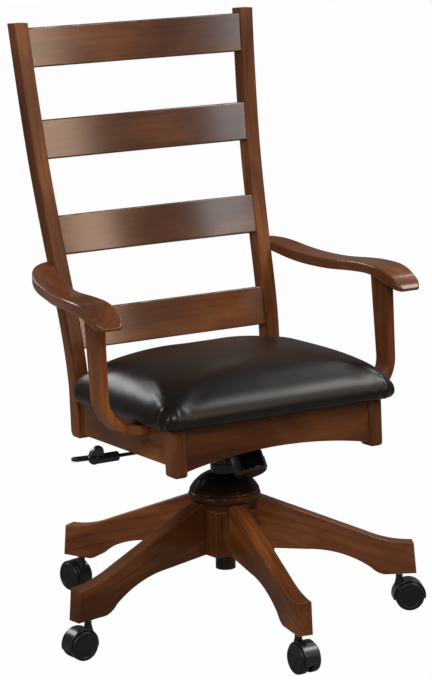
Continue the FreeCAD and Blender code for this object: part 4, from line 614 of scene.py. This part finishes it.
BLACK_NODES = ("outer_tube", "tilt_housing", "tilt_plate", "lever_rod")
GLOSSY_NODES = ("tension_knob", "lever_handle", "guide_bush", "valve_button")
STEEL_NODES = (
    "pressure_tube",
    "piston_rod",
    "thrust_bearing",
    "tension_bolt",
    "tension_spring",
    "plate_screws",
    "caster_sockets",
)


def paint(node, material):
    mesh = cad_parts[node].data
    mesh.materials.clear()
    mesh.materials.append(material)


def paint_bell_shade(material):
    """Painted shade on the cap's bell above its bead, fading out on the bead under it."""
    s = Shader(material.name, material)
    main = s.main.inputs["Base Color"]
    bare = main.links[0].from_socket
    bell = s.spread(s.upward("Object"), CAP_BEAD_HEIGHT, CAP_BEAD_HEIGHT + BELL_SHADE_FADE)
    s.link(s.mix(bell, bare, BELL_PAINTED_SHADE), main)


def dull_top(material):
    """Thin, worn lacquer on a slat's narrow top edge."""
    s = Shader(material.name, material)
    coat = s.main.inputs["Coat Weight"]
    s.link(s.spread(s.upward("Normal"), *SLAT_TOP_FACING, coat.default_value, SLAT_TOP_GLOSS), coat)


def paint_nodes():
    for index, (node, along) in enumerate(sorted(grain_directions().items())):
        # Piece tones are partly painted light that lifts pieces lying in shade
        material = wood("wood_" + node, along, index + 1, *PIECE_LOOKS.get(node, PLAIN_LOOK))
        paint(node, material)
        # The hub cap gets painted shade on its bell
        if node == "hub_cap":
            paint_bell_shade(material)
        if node.startswith("slat_"):
            dull_top(material)
    shells = plastic("hood_plastic", roughness=0.26, shine=0.42)
    treads = plastic("wheel_plastic", roughness=0.34, shine=0.3)
    knob = plastic("knob_plastic", roughness=0.16, shine=0.5)
    for number in range(1, LEG_COUNT + 1):
        paint("caster_hood_%d" % number, shells)
        paint("caster_wheel_left_%d" % number, treads)
        paint("caster_wheel_right_%d" % number, treads)
    for node in GLOSSY_NODES:
        paint(node, knob)
    dark = black_steel("black_steel")
    for node in BLACK_NODES:
        paint(node, dark)
    upright = bright_steel("steel_upright", UPRIGHT)
    for node in STEEL_NODES:
        paint(node, upright)
    paint("tilt_axle", bright_steel("steel_across", ACROSS))
    paint("seat_board", plywood("plywood"))


# Cushion

CUSHION_BASE = 0.413
CUSHION_HALF_WIDTH = 0.239
CUSHION_FRONT = -0.232
CUSHION_REAR = 0.152
CUSHION_SIDE_DRAW = 0.76
CUSHION_REAR_DRAW = 0.4
CUSHION_CORNER = 0.020
CUSHION_ROUNDING = 0.8
CUSHION_WIDEST = 0.016
CUSHION_CROWN = 0.094
CUSHION_REACH = 0.165
CROWN_POWER = 2.07
CUSHION_START_INSET = 0.002
INSET_BUILD_UP = 0.04
RING_POINTS = 24

# Most that a corner's radius may be, as a share of the half width and of the depth
CORNER_OF_WIDTH = 0.95
CORNER_OF_DEPTH = 0.475

# Rise above the seat frame, and how far the outline is drawn in there, for the underside's rings
UNDERSIDE_RINGS = [(0.0008, 0.060), (0.0008, 0.014), (0.0035, 0.0065), (0.009, 0.0012)]
CROWN_DRAWS = (0, 0.0015, 0.005, 0.012, 0.023, 0.04, 0.062, 0.09, 0.12, 0.15, 0.165)

# Swelling and smoothing
VOXEL = 0.0055
HELD_BELOW = 0.010
FARTHEST_SWELL = 0.006
CLOTH_FRAMES = 20
CLOTH_SETTINGS = {
    "quality": 6,
    "mass": 0.3,
    "tension_stiffness": 40,
    "compression_stiffness": 40,
    "bending_stiffness": 4.0,
    "use_pressure": True,
    "uniform_pressure_force": 4.0,
}
SMOOTHING_STEPS = 12

# Tucks at the front corners
TUCK_INSET = 0.012
TUCK_REACH = 0.075
TUCK_FADE = 0.032
TUCK_CENTRE = 0.02
TUCK_COUNT = 9.0
TUCK_HEIGHT = 0.0022


def crown_rise(draw):
    """Height of the cushion's surface above the seat frame where the outline is drawn in by this much."""
    share = min(1.0, draw / CUSHION_REACH)
    rise = (1 - (1 - share) ** CROWN_POWER) ** (1 / CROWN_POWER)
    return CUSHION_WIDEST + (CUSHION_CROWN - CUSHION_WIDEST) * rise


def cushion_ring(rise, draw):
    """Rounded rectangle of points, level frame."""
    half = CUSHION_HALF_WIDTH - draw * CUSHION_SIDE_DRAW
    front = CUSHION_FRONT + draw
    rear = CUSHION_REAR - draw * CUSHION_REAR_DRAW
    rounding = CUSHION_CORNER + CUSHION_ROUNDING * max(draw, 0)
    corner = min(rounding, half * CORNER_OF_WIDTH, (rear - front) * CORNER_OF_DEPTH)
    centres = (
        (half - corner, front + corner, -90),
        (half - corner, rear - corner, 0),
        (corner - half, rear - corner, 90),
        (corner - half, front + corner, 180),
    )
    points = []
    for centre_x, centre_y, first in centres:
        for step in range(RING_POINTS + 1):
            angle = math.radians(first + 90 * step / RING_POINTS)
            x = centre_x + corner * math.cos(angle)
            y = centre_y + corner * math.sin(angle)
            points.append(raked((x, y, CUSHION_BASE + rise)))
    return points


def cushion_form():
    """Closed crowned form, ring by ring from the underside to the crown."""
    inset = CUSHION_START_INSET
    levels = list(UNDERSIDE_RINGS)
    for draw in CROWN_DRAWS:
        levels.append((crown_rise(draw) - inset * min(1, draw / INSET_BUILD_UP), draw))
    form = bmesh.new()
    rings = []
    for rise, draw in levels:
        rings.append([form.verts.new(point) for point in cushion_ring(rise, draw + inset)])
    for lower, upper in zip(rings, rings[1:]):
        for index in range(len(lower)):
            after = (index + 1) % len(lower)
            form.faces.new((lower[index], lower[after], upper[after], upper[index]))
    form.faces.new(list(reversed(rings[0])))
    form.faces.new(rings[-1])
    mesh = bpy.data.meshes.new("cushion")
    form.to_mesh(mesh)
    form.free()
    return mesh


def apply_modifier(piece, modifier):
    bpy.ops.object.select_all(action="DESELECT")
    piece.select_set(True)
    bpy.context.view_layer.objects.active = piece
    bpy.ops.object.modifier_apply(modifier=modifier.name)


def inflate(piece, farthest):
    """Swell the pad as a padded cloth skin, held to the board underneath, and cap how far a point moves."""
    held = piece.vertex_groups.new(name="held")
    start = [vertex.co.copy() for vertex in piece.data.vertices]
    for index, place in enumerate(start):
        level = place.z + place.y * math.sin(RAKE_ANGLE)
        if level < CUSHION_BASE + HELD_BELOW:
            held.add([index], 1.0, "REPLACE")
    cloth = piece.modifiers.new("cloth", "CLOTH")
    settings = cloth.settings
    settings.vertex_group_mass = held.name
    for key, value in CLOTH_SETTINGS.items():
        setattr(settings, key, value)
    settings.effector_weights.gravity = 0.0
    cloth.collision_settings.use_collision = False
    scene = bpy.context.scene
    for step in range(1, CLOTH_FRAMES + 1):
        scene.frame_set(step)
    apply_modifier(piece, cloth)
    scene.frame_set(1)
    for vertex, place in zip(piece.data.vertices, start):
        moved = vertex.co - place
        vertex.co = place + moved * (farthest / (farthest + moved.length))
    piece.vertex_groups.clear()


def gather_corners(piece):
    """Small tucks where the leather is pulled under the front corners, and soft ripples beside them."""
    for side in (-1, 1):
        x = side * (CUSHION_HALF_WIDTH - TUCK_INSET)
        corner = raked((x, CUSHION_FRONT + TUCK_INSET, CUSHION_BASE + TUCK_INSET))
        for vertex in piece.data.vertices:
            away = vertex.co - corner
            if away.length > TUCK_REACH:
                continue
            around = math.atan2(away.x * side + TUCK_CENTRE, TUCK_CENTRE - away.y)
            fade = math.exp(-((away.length / TUCK_FADE) ** 2))
            vertex.co += vertex.normal * (TUCK_HEIGHT * math.sin(around * TUCK_COUNT) * fade)
    piece.data.update()


def add_cushion():
    mesh = cushion_form()
    piece = bpy.data.objects.new("cushion_leather", mesh)
    bpy.context.collection.objects.link(piece)
    remesh = piece.modifiers.new("remesh", "REMESH")
    remesh.mode = "VOXEL"
    remesh.voxel_size = VOXEL
    apply_modifier(piece, remesh)
    inflate(piece, FARTHEST_SWELL)
    smooth = piece.modifiers.new("smooth", "CORRECTIVE_SMOOTH")
    smooth.iterations = SMOOTHING_STEPS
    smooth.use_only_smooth = True
    apply_modifier(piece, smooth)
    gather_corners(piece)
    finer = piece.modifiers.new("finer", "SUBSURF")
    finer.levels = 1
    finer.render_levels = 1
    apply_modifier(piece, finer)
    for polygon in piece.data.polygons:
        polygon.use_smooth = True
    piece.data.materials.append(leather("leather"))
    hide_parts("seat_cover", "seat_foam")
    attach(piece, "seat")


# Tension spring


def add_spring():
    """Copy of the tension spring, attached to the seat so that it moves with it."""
    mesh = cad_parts["tension_spring"].data.copy()
    piece = bpy.data.objects.new("spring_steel", mesh)
    bpy.context.collection.objects.link(piece)
    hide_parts("tension_spring")
    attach(piece, "seat")
    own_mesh(piece)


add_camera()
add_world()
for lamp_values in LAMPS:
    add_lamp(*lamp_values)
add_floor()
paint_nodes()
add_cushion()
add_spring()

bpy.context.scene.view_settings.view_transform = "Standard"
